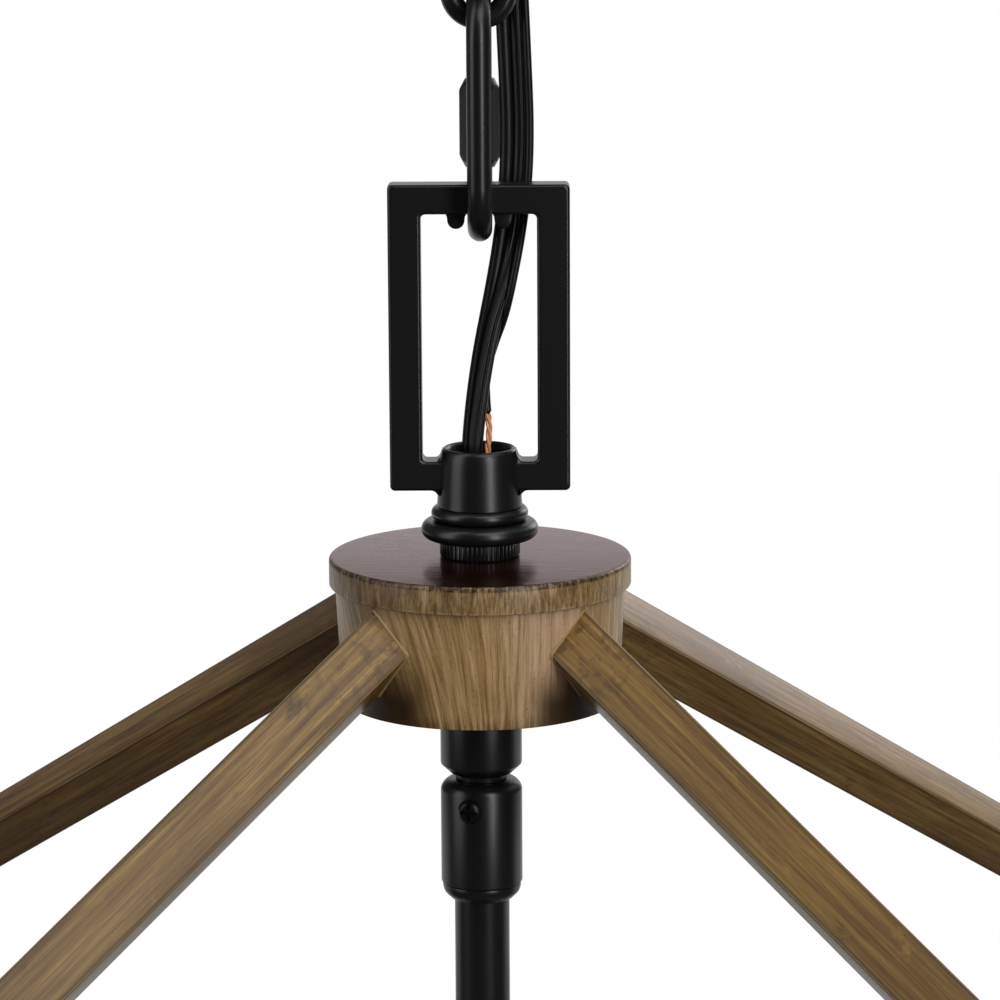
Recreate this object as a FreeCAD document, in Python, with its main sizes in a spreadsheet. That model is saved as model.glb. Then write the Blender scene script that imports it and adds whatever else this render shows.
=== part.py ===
import FreeCAD, Part
import math
import os
import re
import Sketcher
from FreeCAD import Placement, Rotation, Vector

# A hanging lantern chandelier: ceiling plate and canopy, a short chain, a cast hanger loop, a
# round hub with four square arms that run down to a square tube frame, and a candle cluster.
# The origin is the ceiling plane on the chain's axis, so all of the fixture lies below it.
# Sizes are in millimetres.

doc = FreeCAD.newDocument("lantern_chandelier")
sheet = doc.addObject("Spreadsheet::Sheet", "sizes")

SIZES = {
    # Clearances: between pieces that swing, between threads, and between slipped-on pieces.
    "swing_gap": 0.3,
    "thread_gap": 0.05,
    "slip_gap": 0.2,
    "overrun": 5.0,
    # Ceiling: a joggled mounting bar, its screws and nuts, and the canopy dish.
    "bar_length": 108.0,
    "bar_width": 20.0,
    "bar_gauge": 1.8,
    "bar_drop": 8.0,
    "bar_flange": 27.0,
    "joggle_run": 7.0,
    "slot_spacing": 79.4,
    "slot_length": 18.0,
    "slot_width": 5.2,
    "canopy_radius": 63.5,
    "canopy_depth": 25.0,
    "canopy_gauge": 1.2,
    "canopy_lip": 5.0,
    "canopy_flat_radius": 44.0,
    # M10 threaded tube and its nuts, used at the ceiling and at the hub.
    "thread_radius": 4.85,
    "thread_bore": 3.5,
    "nut_flats": 14.0,
    "nut_height": 3.2,
    "nipple_stub": 1.8,
    "ground_head_radius": 4.0,
    "ground_head_height": 2.6,
    "ground_shank_radius": 2.0,
    "ground_shank_length": 6.0,
    "ground_offset": 13.5,
    # Threaded canopy loop: a hollow barrel with a ring under it, and the collar ring on it.
    "barrel_top": 14.5,
    "barrel_length": 29.5,
    "barrel_radius": 12.5,
    "barrel_cavity_radius": 9.4,
    "barrel_roof": 6.0,
    "barrel_floor": 5.0,
    "loop_ring_radius": 10.5,
    "loop_wire_radius": 2.5,
    "loop_ring_sink": 3.5,
    "cord_hole_x": 6.4,
    "cord_hole_y": 4.4,
    "cord_hole_radius": 3.7,
    "collar_radius": 18.5,
    "collar_height": 7.0,
    # Chain link and screw-closed quick link, both of round wire bent to a long ring.
    "link_length": 36.0,
    "link_width": 17.4,
    "link_wire": 4.8,
    "quick_length": 58.0,
    "quick_width": 26.0,
    "quick_wire": 5.5,
    "quick_gap": 7.6,
    "quick_gap_height": 16.8,
    "quick_nut_flats": 8.1,
    "quick_nut_end_radius": 3.4,
    "quick_nut_length": 20.0,
    "quick_nut_height": 15.6,
    # The lowest link and the quick link hang a little to the right of the loop's middle.
    "chain_lean": 0.5,
    # Cast hanger loop: a rectangular frame over a tapered socket with a bead and a flange.
    "hanger_width": 41.3,
    "hanger_bar": 7.7,
    "hanger_depth": 7.5,
    "hanger_rail": 6.7,
    "hanger_opening": 56.3,
    "hanger_edge": 1.0,
    "nub_offset": 5.3,
    "nub_shift": 0.4,
    "nub_width": 3.9,
    "nub_drop": 3.4,
    "nub_depth": 5.0,
    "socket_foot_radius": 9.65,
    "socket_top_radius": 8.9,
    "socket_rim_radius": 7.1,
    "socket_cavity_radius": 6.5,
    "socket_height": 20.2,
    "socket_shoulder": 2.8,
    "socket_floor": 9.6,
    "hanger_lift": 11.4,
    "flange_radius": 13.35,
    "flange_height": 4.2,
    "bead_radius": 11.05,
    "bead_height": 3.2,
    # Ribbed collar, hub lid and drum.
    "ribbed_radius": 9.15,
    "ribbed_height": 4.1,
    "rib_count": 46,
    "rib_depth": 0.35,
    "lid_radius": 34.5,
    "lid_height": 6.4,
    "lid_gauge": 1.0,
    "lid_edge": 0.6,
    "drum_top_radius": 33.4,
    "drum_foot_radius": 31.8,
    "hub_height": 33.2,
    "drum_gauge": 1.2,
    "drum_floor": 1.5,
    "crossbar_width": 16.0,
    "crossbar_gauge": 3.0,
    "crossbar_depth": 10.0,
    "bushing_height": 3.0,
    "bushing_bore": 3.3,
    "upper_nipple_drop": 18.5,
    "lower_nipple_rise": 7.5,
    "lower_nipple_drop": 13.4,
    "connector_radius": 4.6,
    "connector_tip_radius": 3.0,
    "connector_length": 17.0,
    # Coupling under the hub: collar, swivel tenon, sleeve and cross-head screw.
    "coupling_radius": 9.4,
    "collar_length": 15.7,
    "collar_chamfer": 2.2,
    "collar_foot_radius": 7.1,
    "neck_radius": 5.9,
    "neck_length": 1.6,
    "tenon_length": 8.0,
    "shoulder_height": 2.4,
    "sleeve_length": 25.8,
    "sleeve_groove": 0.5,
    "sleeve_bead_radius": 9.0,
    "sleeve_bead_height": 2.3,
    "sleeve_foot_height": 1.2,
    "sleeve_foot_radius": 7.3,
    "screw_below_neck": 5.6,
    "screw_turn": 16.0,
    "screw_head_radius": 2.85,
    "screw_head_height": 1.7,
    "screw_shank_radius": 1.5,
    "screw_recess": 0.9,
    "screw_slot": 0.8,
    "stem_radius": 6.35,
    "stem_gauge": 1.0,
    "stem_length": 348.0,
    "stem_socket": 16.0,
    # Square tube frame: arms from the hub to the corner posts, and the rails between these.
    "tube_width": 12.7,
    "tube_gauge": 1.2,
    "arm_slope": 29.5,
    "arm_apex": 1.0,
    "frame_width": 508.0,
    "post_rise": 16.0,
    "post_height": 352.0,
    "rail_inset": 22.0,
    # Candle cluster: turned body, finial, arms, pans, sleeves, holders and bulbs.
    "cluster_radius": 21.0,
    "cluster_neck_radius": 10.0,
    "cluster_height": 52.0,
    "finial_radius": 12.0,
    "finial_height": 27.0,
    "candle_count": 4,
    "candle_reach": 105.0,
    "candle_rise": 42.0,
    "candle_bend": 26.0,
    "candle_arm_radius": 4.75,
    "candle_arm_gauge": 0.9,
    "candle_arm_socket": 9.0,
    "pan_radius": 23.0,
    "pan_height": 6.0,
    "pan_gauge": 1.2,
    "holder_radius": 8.6,
    "holder_height": 72.0,
    "holder_well": 19.0,
    "sleeve_radius": 11.0,
    "sleeve_gauge": 1.2,
    "sleeve_height": 82.0,
    "bulb_base_radius": 5.95,
    "bulb_base_height": 17.0,
    "bulb_neck_radius": 6.6,
    "bulb_radius": 17.5,
    "bulb_belly_height": 30.0,
    "bulb_glass_height": 80.0,
    "bulb_tip_radius": 2.2,
    # Flat twin cord, drawn as a round tube, and the sleeved ground wire beside it.
    "cord_radius": 2.3,
    "ground_wire_radius": 0.9,
}

# Roundness of a stretch of outline: how far it bulges, as a share of half its chord.
HALF_SHARE = 0.92
QUARTER_SHARE = math.tan(math.pi / 8)
SHALLOW_SHARE = 0.2
# A nut's end cone: how far it goes down for each step out.
NUT_CONE_SHARE = "tan(30)"
SLEEVE_CONE_SHARE = "tan(62)"

for row, (alias, value) in enumerate(SIZES.items(), start=1):
    sheet.set(f"A{row}", alias)
    sheet.set(f"B{row}", str(value))
    sheet.setAlias(f"B{row}", alias)
doc.recompute()


def number(text):
    """The value of an expression in the sheet's aliases."""
    return float(sheet.evalExpression(str(text)))


def bound(text):
    """The same expression as another object of the document reads it."""
    def with_sheet(match):
        word = match.group()
        return "sizes." + word if word in SIZES else word
    return re.sub(r"[A-Za-z_]\w*", with_sheet, str(text))


def bind(thing, **sizes):
    """Ties properties of an object to expressions; a double underscore stands for a dot."""
    for name, text in sizes.items():
        thing.setExpression(name.replace("__", "."), bound(text))
    return thing


def place(thing, x="0", y="0", z="0", turn=None):
    """Gives an object its rotation, and ties its position to the sheet."""
    if turn is not None:
        thing.Placement = Placement(Vector(), turn)
    for axis, text in zip("xyz", (x, y, z)):
        thing.setExpression("Placement.Base." + axis, bound(text))
    return thing


def primitive(kind, name, **sizes):
    thing = doc.addObject("Part::" + kind, name)
    thing.Label = name
    return bind(thing, **sizes)


def joined(kind, name, pieces):
    """A fusion, a common volume or a group of several objects."""
    thing = doc.addObject("Part::" + kind, name)
    thing.Label = name
    setattr(thing, "Links" if kind == "Compound" else "Shapes", pieces)
    return thing


def cut(name, base, tool):
    thing = doc.addObject("Part::Cut", name)
    thing.Label = name
    thing.Base = base
    thing.Tool = tool
    return thing


def fixed(name, shape):
    """A piece whose shape comes from Part's own functions."""
    thing = doc.addObject("Part::Feature", name)
    thing.Label = name
    thing.Shape = shape
    return thing


def new_body(name):
    body = doc.addObject("PartDesign::Body", name)
    body.Label = name
    return body


def sketch_on(body, plane, name, lift=None):
    """A sketch on one of the body's own origin planes, lifted off it where asked."""
    sketch = body.newObject("Sketcher::SketchObject", f"{body.Name}_{name}")
    origin_plane = [f for f in body.Origin.OriginFeatures if f.Role == plane][0]
    sketch.AttachmentSupport = [(origin_plane, "")]
    sketch.MapMode = "FlatFace"
    if lift is not None:
        sketch.setExpression("AttachmentOffset.Base.z", bound(lift))
    return sketch


def pin_point(sketch, geometry, point, x, y):
    """Holds one point of the sketch at a place given in the sheet's sizes."""
    for kind, text in (("DistanceX", x), ("DistanceY", y)):
        index = sketch.addConstraint(Sketcher.Constraint(kind, -1, 1, geometry, point, number(text)))
        sketch.setExpression(f"Constraints[{index}]", bound(text))


def outline(sketch, points):
    """A closed outline. Each point is (x, y) or (x, y, bulge): the stretch that follows a bulge
    is an arc that stands out to the right of its direction by that share of half its chord."""
    count = len(points)
    first = sketch.GeometryCount
    for i, point in enumerate(points):
        after = points[(i + 1) % count]
        a = Vector(number(point[0]), number(point[1]), 0)
        b = Vector(number(after[0]), number(after[1]), 0)
        bulge = point[2] if len(point) > 2 else 0
        if bulge:
            half = (b - a) / 2
            side = Vector(half.y, -half.x, 0)
            arc = Part.Arc(a, a + half + side * bulge, b)
            geometry = sketch.addGeometry(arc, False)
            turned = bulge < 0
            ends = (2, 1) if turned else (1, 2)
            chord = f"sqrt((({after[0]}) - ({point[0]}))^2 + (({after[1]}) - ({point[1]}))^2)"
            radius = f"{chord} * {(1 + bulge * bulge) / (4 * abs(bulge))}"
            index = sketch.addConstraint(Sketcher.Constraint("Radius", geometry, number(radius)))
            sketch.setExpression(f"Constraints[{index}]", bound(radius))
        else:
            geometry = sketch.addGeometry(Part.LineSegment(a, b), False)
            ends = (1, 2)
        if i == 0:
            first_end = ends[0]
            pin_point(sketch, geometry, ends[0], point[0], point[1])
        else:
            meeting = Sketcher.Constraint("Coincident", geometry - 1, last_end, geometry, ends[0])
            sketch.addConstraint(meeting)
            pin_point(sketch, geometry, ends[0], point[0], point[1])
        last_end = ends[1]
    sketch.addConstraint(Sketcher.Constraint("Coincident", geometry, last_end, first, first_end))


def circle(sketch, x, y, radius):
    ring = Part.Circle(Vector(number(x), number(y), 0), Vector(0, 0, 1), number(radius))
    geometry = sketch.addGeometry(ring, False)
    pin_point(sketch, geometry, 3, x, y)
    index = sketch.addConstraint(Sketcher.Constraint("Radius", geometry, number(radius)))
    sketch.setExpression(f"Constraints[{index}]", bound(radius))


def rectangle(sketch, x_low, y_low, x_high, y_high):
    outline(sketch, [(x_low, y_low), (x_high, y_low), (x_high, y_high), (x_low, y_high)])


def turn_sketch(body, sketch, kind, name):
    """Revolves a profile of radius and height about the body's own vertical axis."""
    feature = body.newObject("PartDesign::" + kind, f"{body.Name}_{name}")
    feature.Profile = sketch
    feature.ReferenceAxis = (sketch, ["V_Axis"])
    feature.Angle = 360
    body.Tip = feature
    return feature


def turned(name, points):
    """A piece made on the lathe: a closed profile of radius and height, revolved."""
    body = new_body(name)
    sketch = sketch_on(body, "XZ_Plane", "profile")
    outline(sketch, points)
    turn_sketch(body, sketch, "Revolution", "turned")
    return body


def extrude(body, sketch, length, name, kind="Pad", symmetric=False, through=False):
    feature = body.newObject("PartDesign::" + kind, f"{body.Name}_{name}")
    feature.Profile = sketch
    if symmetric:
        feature.SideType = "Symmetric"
    if through:
        feature.Type = "ThroughAll"
    else:
        bind(feature, Length=length)
    body.Tip = feature
    return feature


def around(body, feature, count, name):
    """Repeats a feature evenly about the body's vertical axis."""
    pattern = body.newObject("PartDesign::PolarPattern", f"{body.Name}_{name}")
    pattern.Originals = [feature]
    pattern.Axis = ([f for f in body.Origin.OriginFeatures if f.Role == "Z_Axis"][0], [""])
    pattern.Angle = 360
    bind(pattern, Occurrences=count)
    body.Tip = pattern
    return pattern


def tube_profile(inner, outer, low, high):
    return [(inner, low), (outer, low), (outer, high), (inner, high)]


def hexagon(sketch, flats):
    reach = f"{flats} / 2 / cos(30)"
    outline(sketch, [(f"{reach} * cos({60 * k})", f"{reach} * sin({60 * k})") for k in range(6)])


def hex_nut(name, flats, bore, height, end_radius=None, cone=NUT_CONE_SHARE):
    """A hexagon prism with a hole, and a cone turned on both ends."""
    end_radius = end_radius or f"({flats} / 2)"
    body = new_body(name)
    sketch = sketch_on(body, "XY_Plane", "hexagon")
    hexagon(sketch, flats)
    circle(sketch, "0", "0", bore)
    extrude(body, sketch, height, "prism")
    corner = f"{flats} / 2 / cos(30)"
    edge = f"({corner} - {flats} / 2)"
    for side, tip, slope in (("low", "0", 1), ("high", height, -1)):
        groove = sketch_on(body, "XZ_Plane", side)
        outline(groove, [
            (end_radius, tip),
            (f"{corner} + {edge}", tip),
            (f"{corner} + {edge}", f"{tip} + {slope} * ({corner} + {edge} - {end_radius}) * {cone}"),
        ][::slope])
        turn_sketch(body, groove, "Groove", side + "_chamfer")
    return body


# Heights of the seats down the fixture's axis, each from the one above it.
bar_underside = "(bar_drop + bar_gauge)"
barrel_foot = "(barrel_top + barrel_length)"
loop_ring_z = "(barrel_top + barrel_length + loop_ring_radius + loop_wire_radius - loop_ring_sink)"
loop_seat = f"({loop_ring_z} + loop_ring_radius)"
link_span = "(link_length - link_wire)"
link_step = "(link_length - 2 * link_wire - swing_gap)"
quick_span = "(quick_length - quick_wire)"
LINK_COUNT = 3
link_tops = [
    f"({loop_seat} - loop_wire_radius - link_wire / 2 - swing_gap + {k} * {link_step})"
    for k in range(LINK_COUNT)
]
chain_seat = f"({link_tops[-1]} + {link_span})"
quick_top = f"({chain_seat} - link_wire / 2 - quick_wire / 2 - swing_gap)"
quick_seat = f"({quick_top} + {quick_span})"
# The hanger's upper bar rests its rounded edges in the quick link's bend.
quick_bend = "((quick_width - quick_wire) / 2)"
bar_reach = f"({quick_bend} - quick_wire / 2 - hanger_edge - swing_gap)"
bar_rest = f"({quick_bend} - hanger_edge - sqrt({bar_reach}^2 - (hanger_depth / 2 - hanger_edge)^2))"
opening_top = f"({quick_seat} - {bar_rest})"
lid_top = f"({opening_top} + hanger_opening + hanger_rail + hanger_lift + ribbed_height)"
hub_foot = f"({lid_top} + hub_height)"
neck_foot = f"({hub_foot} + collar_length + collar_chamfer + neck_length)"
sleeve_foot = f"({neck_foot} + shoulder_height + sleeve_length)"
stem_foot = f"({sleeve_foot} - stem_socket + stem_length)"
frame_half = "(frame_width / 2)"
arm_fall = f"({frame_half} * sqrt(2) * tan(arm_slope) - arm_apex)"
post_top = f"({lid_top} + {arm_fall} - post_rise)"
cluster_top = f"({stem_foot} - stem_socket)"
cluster_foot = f"({cluster_top} + cluster_height)"
candle_hub = f"({cluster_top} + cluster_height * 0.62)"
pan_foot = f"({candle_hub} - candle_rise)"

parts = []


def keep(thing):
    """Counts a finished piece among the ones that are written out."""
    parts.append(thing)
    return thing


# Mounting bar: a flat steel strip with both ends joggled up to the ceiling and slotted.
bar = new_body("mounting_bar")
profile = sketch_on(bar, "XZ_Plane", "strip")
half_bar = "bar_length / 2"
flange_inner = "(bar_length / 2 - bar_flange)"
middle_end = f"({flange_inner} - joggle_run)"
upper = [(f"-{half_bar}", "0"), (f"-{flange_inner}", "0"), (f"-{middle_end}", "-bar_drop"),
         (middle_end, "-bar_drop"), (flange_inner, "0"), (half_bar, "0")]
lower = [(x, f"{z} - bar_gauge") for x, z in reversed(upper)]
outline(profile, upper + lower)
extrude(bar, profile, "bar_width", "strip_pad", symmetric=True)
holes = sketch_on(bar, "XY_Plane", "holes")
circle(holes, "0", "0", "thread_radius + thread_gap")
circle(holes, "ground_offset", "0", "ground_shank_radius + thread_gap")
slot_run = "(slot_length - slot_width) / 2"
for side in (-1, 1):
    centre = f"{side} * slot_spacing / 2"
    rectangle(holes, f"{centre} - {slot_run}", "-slot_width / 2",
              f"{centre} + {slot_run}", "slot_width / 2")
extrude(bar, holes, "", "holes_cut", kind="Pocket", through=True)
for end in (-1, 1):
    ends = sketch_on(bar, "XY_Plane", f"slot_ends_{end + 1}")
    circle(ends, f"slot_spacing / 2 + {end} * {slot_run}", "0", "slot_width / 2")
    circle(ends, f"-slot_spacing / 2 + {end} * {slot_run}", "0", "slot_width / 2")
    extrude(bar, ends, "", f"slot_ends_cut_{end + 1}", kind="Pocket", through=True)
keep(bar)

# Canopy nipple: a threaded tube that carries the whole fixture from the bar.
nipple_top = "(bar_drop - nut_height - nipple_stub)"
canopy_nipple = turned("canopy_nipple", tube_profile(
    "thread_bore", "thread_radius", "0", f"barrel_top + barrel_roof - {nipple_top}"))
keep(place(canopy_nipple, z="-(barrel_top + barrel_roof)"))

# Two lock nuts, above and below the bar.
bar_nuts = []
for level, height in (("upper", "-bar_drop"), ("lower", f"-{bar_underside} - nut_height")):
    nut = hex_nut(f"bar_nut_{level}", "nut_flats", "thread_radius + thread_gap", "nut_height")
    bar_nuts.append(place(nut, z=height))
keep(joined("Compound", "bar_lock_nuts", bar_nuts))

# Ground screw: a green hexagon-head screw with a slot, in the bar's middle.
ground = new_body("ground_screw")
head = sketch_on(ground, "XY_Plane", "head")
hexagon(head, "ground_head_radius * 2 * cos(30)")
extrude(ground, head, "ground_head_height", "head_pad")
shank = sketch_on(ground, "XY_Plane", "shank")
circle(shank, "0", "0", "ground_shank_radius")
shank_pad = extrude(ground, shank, "ground_shank_length", "shank_pad")
shank_pad.Reversed = True
slot = sketch_on(ground, "XY_Plane", "slot", lift="ground_head_height")
rectangle(slot, "-ground_head_radius", "-ground_shank_radius / 4",
          "ground_head_radius", "ground_shank_radius / 4")
extrude(ground, slot, "ground_head_height / 2", "slot_cut", kind="Pocket")
keep(place(ground, x="ground_offset", z=f"-{bar_underside}", turn=Rotation(Vector(1, 0, 0), 180)))

# Canopy: a spun dish with a straight lip, hung on the collar ring.
canopy = turned("canopy", [
    ("canopy_radius - canopy_gauge", "0"),
    ("canopy_radius - canopy_gauge", "-canopy_lip", -QUARTER_SHARE),
    ("canopy_flat_radius", "-canopy_depth + canopy_gauge"),
    ("barrel_radius + 3 * slip_gap", "-canopy_depth + canopy_gauge"),
    ("barrel_radius + 3 * slip_gap", "-canopy_depth"),
    ("canopy_flat_radius", "-canopy_depth", QUARTER_SHARE),
    ("canopy_radius", "-canopy_lip"),
    ("canopy_radius", "0"),
])
keep(canopy)

# Canopy loop: a hollow threaded barrel with a cast ring under it and a hole for the cord.
barrel = turned("loop_barrel", [
    ("thread_radius + thread_gap", "barrel_length - barrel_roof"),
    ("barrel_cavity_radius", "barrel_length - barrel_roof"),
    ("barrel_cavity_radius", "barrel_floor"),
    ("0", "barrel_floor"),
    ("0", "0"),
    ("barrel_radius - canopy_gauge", "0"),
    ("barrel_radius", "canopy_gauge"),
    ("barrel_radius", "barrel_length"),
    ("thread_radius + thread_gap", "barrel_length"),
])
place(barrel, z=f"-{barrel_foot}")
loop_ring = primitive("Torus", "loop_ring", Radius1="loop_ring_radius", Radius2="loop_wire_radius")
place(loop_ring, z=f"-{loop_ring_z}", turn=Rotation(Vector(0, 1, 0), 90))
cord_hole = primitive("Cylinder", "cord_hole", Radius="cord_hole_radius",
                      Height="barrel_floor + 2 * overrun")
place(cord_hole, x="cord_hole_x", y="cord_hole_y", z=f"-{barrel_foot} - overrun")
canopy_loop = cut("canopy_loop", joined("MultiFuse", "loop_casting", [barrel, loop_ring]), cord_hole)
keep(canopy_loop)

# Collar ring: screws up the barrel and holds the canopy to the ceiling.
collar_bore = "barrel_radius + thread_gap"
collar_ring = turned("collar_ring", [
    (collar_bore, "0"),
    ("collar_radius - 2 * canopy_gauge", "0", QUARTER_SHARE),
    ("collar_radius - canopy_gauge", "collar_height * 0.45"),
    ("collar_radius", "collar_height * 0.55"),
    ("collar_radius", "collar_height - canopy_gauge / 2"),
    ("collar_radius - canopy_gauge / 2", "collar_height"),
    (collar_bore, "collar_height"),
])
keep(place(collar_ring, z="-canopy_depth - slip_gap - collar_height"))


def wire_connectors(name, ring_radius, height, angles):
    """Three twist-on wire connectors: short tapered caps that stand upright in a ring."""
    caps = []
    for k, angle in enumerate(angles):
        cap = turned(f"{name}_{k + 1}_cap", [
            ("0", "0"), ("connector_radius", "0"), ("connector_radius", "connector_length * 0.3"),
            ("connector_tip_radius", "connector_length"), ("0", "connector_length")])
        caps.append(place(cap, x=f"{ring_radius} * cos({angle})",
                          y=f"{ring_radius} * sin({angle})", z=height))
    return joined("Compound", name, caps)


# Wire connectors, on the canopy's floor and on the drum's floor.
keep(wire_connectors("ceiling_wire_connectors", "canopy_flat_radius * 0.7",
                     "-canopy_depth + canopy_gauge + slip_gap", (60, 90, 120)))
keep(wire_connectors("hub_wire_connectors", "drum_foot_radius * 0.62",
                     f"-{hub_foot} + drum_floor", (90, 210, 330)))


def wire_ring(name, length, width, wire):
    """A ring of round wire with straight legs, built upright in the plane of X and Z, with its
    upper bend's centre line at the origin."""
    bend = f"({width} - {wire}) / 2"
    legs = f"({length} - {width})"
    upright = Rotation(Vector(1, 0, 0), 90)
    pieces = []
    for level, height, turn in (
        ("upper", f"-({bend})", upright),
        ("lower", f"-({bend}) - {legs}", Rotation(Vector(1, 0, 0), -90)),
    ):
        half = primitive("Torus", f"{name}_{level}_bend", Radius1=bend, Radius2=f"{wire} / 2",
                         Angle3="180")
        pieces.append(place(half, z=height, turn=turn))
    for side, sign in (("left", "-"), ("right", "")):
        leg = primitive("Cylinder", f"{name}_{side}_leg", Radius=f"{wire} / 2", Height=legs)
        pieces.append(place(leg, x=f"{sign}({bend})", z=f"-({bend}) - {legs}"))
    return joined("MultiFuse", name, pieces)


# Chain links, turned a quarter from one to the next; the lowest one faces the front.
QUARTER_TURN = Rotation(Vector(0, 0, 1), 90)
for k, top in enumerate(link_tops):
    link = wire_ring(f"chain_link_{k + 1}", "link_length", "link_width", "link_wire")
    lean = "chain_lean" if top == link_tops[-1] else "0"
    keep(place(link, x=lean, z=f"-{top}", turn=QUARTER_TURN if k % 2 else Rotation()))

# Quick link: the rear leg is cut, and the threaded nut on it bridges the cut.
quick_ring = wire_ring("quick_ring", "quick_length", "quick_width", "quick_wire")
quick_leg = "((quick_width - quick_wire) / 2)"
quick_cut = primitive("Cylinder", "quick_cut", Radius="quick_wire", Height="quick_gap")
place(quick_cut, x=quick_leg, z="-quick_length + quick_wire / 2 + quick_gap_height")
quick_link = cut("quick_link", quick_ring, quick_cut)
keep(place(quick_link, x="chain_lean", z=f"-{quick_top}", turn=QUARTER_TURN))
quick_nut = hex_nut("quick_link_nut", "quick_nut_flats", "quick_wire / 2 + thread_gap",
                    "quick_nut_length", "quick_nut_end_radius", SLEEVE_CONE_SHARE)
keep(place(quick_nut, x="chain_lean", y=quick_leg,
           z=f"-{quick_seat} - quick_wire / 2 + quick_nut_height"))

# Hanger loop: one casting. Its underside is the origin: a flange, a bead, the tapered socket,
# and the rectangular frame with two nubs that keep the quick link in the middle.
hanger = new_body("hanger_loop")
frame = sketch_on(hanger, "XZ_Plane", "frame")
hanger_top = "(hanger_lift + 2 * hanger_rail + hanger_opening)"
rectangle(frame, "-hanger_width / 2", "hanger_lift", "hanger_width / 2", hanger_top)
rectangle(frame, "-hanger_width / 2 + hanger_bar", "hanger_lift + hanger_rail",
          "hanger_width / 2 - hanger_bar", "hanger_lift + hanger_rail + hanger_opening")
frame_pad = extrude(hanger, frame, "hanger_depth", "frame_pad", symmetric=True)
doc.recompute()
softened = hanger.newObject("PartDesign::Fillet", "hanger_loop_softened")
softened.Base = (frame_pad, [f"Edge{k + 1}" for k in range(len(frame_pad.Shape.Edges))])
bind(softened, Radius="hanger_edge")
hanger.Tip = softened
nubs = sketch_on(hanger, "XZ_Plane", "nubs")
under_bar = "(hanger_lift + hanger_rail + hanger_opening)"
for side in (-1, 1):
    centre = f"nub_shift + {side} * nub_offset"
    outline(nubs, [
        (f"{centre} + nub_width / 2", f"{under_bar} + hanger_edge"),
        (f"{centre} - nub_width / 2", f"{under_bar} + hanger_edge"),
        (f"{centre} - nub_width / 2", f"{under_bar} - nub_drop / 2"),
        (f"{centre} - nub_width / 4", f"{under_bar} - nub_drop"),
        (f"{centre} + nub_width / 4", f"{under_bar} - nub_drop"),
        (f"{centre} + nub_width / 2", f"{under_bar} - nub_drop / 2"),
    ])
extrude(hanger, nubs, "nub_depth", "nubs_pad", symmetric=True)
socket = sketch_on(hanger, "XZ_Plane", "socket")
bead_foot = "flange_height"
bead_top = "(flange_height + bead_height)"
thread_hole = "thread_radius + thread_gap"
outline(socket, [
    (thread_hole, "0"),
    ("flange_radius - flange_height / 2", "0", HALF_SHARE),
    ("flange_radius - flange_height / 2", bead_foot),
    ("bead_radius - bead_height / 2", bead_foot, HALF_SHARE),
    ("socket_foot_radius", bead_top),
    ("socket_top_radius", "socket_height - socket_shoulder", QUARTER_SHARE),
    ("socket_rim_radius", "socket_height"),
    ("socket_cavity_radius", "socket_height"),
    ("socket_cavity_radius", "socket_floor"),
    (thread_hole, "socket_floor"),
])
turn_sketch(hanger, socket, "Revolution", "socket_turned")
well = sketch_on(hanger, "XY_Plane", "well", lift="socket_height")
circle(well, "0", "0", "socket_cavity_radius")
extrude(hanger, well, "socket_height - socket_floor", "well_cut", kind="Pocket")
keep(place(hanger, z=f"-{lid_top} + ribbed_height"))

# Cord bushing: a plastic ring on the nipple's end, where the cord goes down into the hub.
bushing = turned("cord_bushing", tube_profile(
    "bushing_bore", "socket_cavity_radius - thread_gap", "0", "bushing_height"))
keep(place(bushing, z=f"-{lid_top} + ribbed_height + socket_floor"))

# Upper nipple: screwed into the socket, it carries the drum by its crossbar.
upper_nipple = turned("upper_nipple", tube_profile(
    "thread_bore", "thread_radius", "0", "upper_nipple_drop + ribbed_height + socket_floor"))
keep(place(upper_nipple, z=f"-{lid_top} - upper_nipple_drop"))

# Ribbed collar: a ring nut that clamps the lid, with fine upright ribs for the fingers.
ribbed = turned("ribbed_collar", tube_profile(thread_hole, "ribbed_radius", "0", "ribbed_height"))
notch = sketch_on(ribbed, "XY_Plane", "notch")
rib_pitch = "(2 * pi * ribbed_radius / rib_count)"
outline(notch, [("ribbed_radius - rib_depth", "0"),
                ("ribbed_radius + rib_depth", f"-{rib_pitch} * 0.55"),
                ("ribbed_radius + rib_depth", f"{rib_pitch} * 0.55")])
notch_cut = extrude(ribbed, notch, "ribbed_height", "notch_cut", kind="Pocket")
notch_cut.Reversed = True
around(ribbed, notch_cut, "rib_count", "ribs")
keep(place(ribbed, z=f"-{lid_top}"))

# Hub lid: a pressed cap whose rim stands over the drum's edge.
lid = turned("hub_lid", [
    (thread_hole, "-lid_gauge"),
    ("drum_top_radius + slip_gap", "-lid_gauge"),
    ("drum_top_radius + slip_gap", "-lid_height"),
    ("lid_radius", "-lid_height"),
    ("lid_radius", "-lid_edge", QUARTER_SHARE),
    ("lid_radius - lid_edge", "0"),
    (thread_hole, "0"),
])
keep(place(lid, z=f"-{lid_top}"))

# Hub drum: a tapered cup that the four arms are welded to.
drum = turned("hub_drum", [
    (thread_hole, "0"),
    ("drum_foot_radius", "0"),
    ("drum_top_radius", "hub_height - lid_gauge"),
    ("drum_top_radius - drum_gauge", "hub_height - lid_gauge"),
    ("drum_foot_radius - drum_gauge", "drum_floor"),
    (thread_hole, "drum_floor"),
])
keep(place(drum, z=f"-{hub_foot}"))

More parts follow.
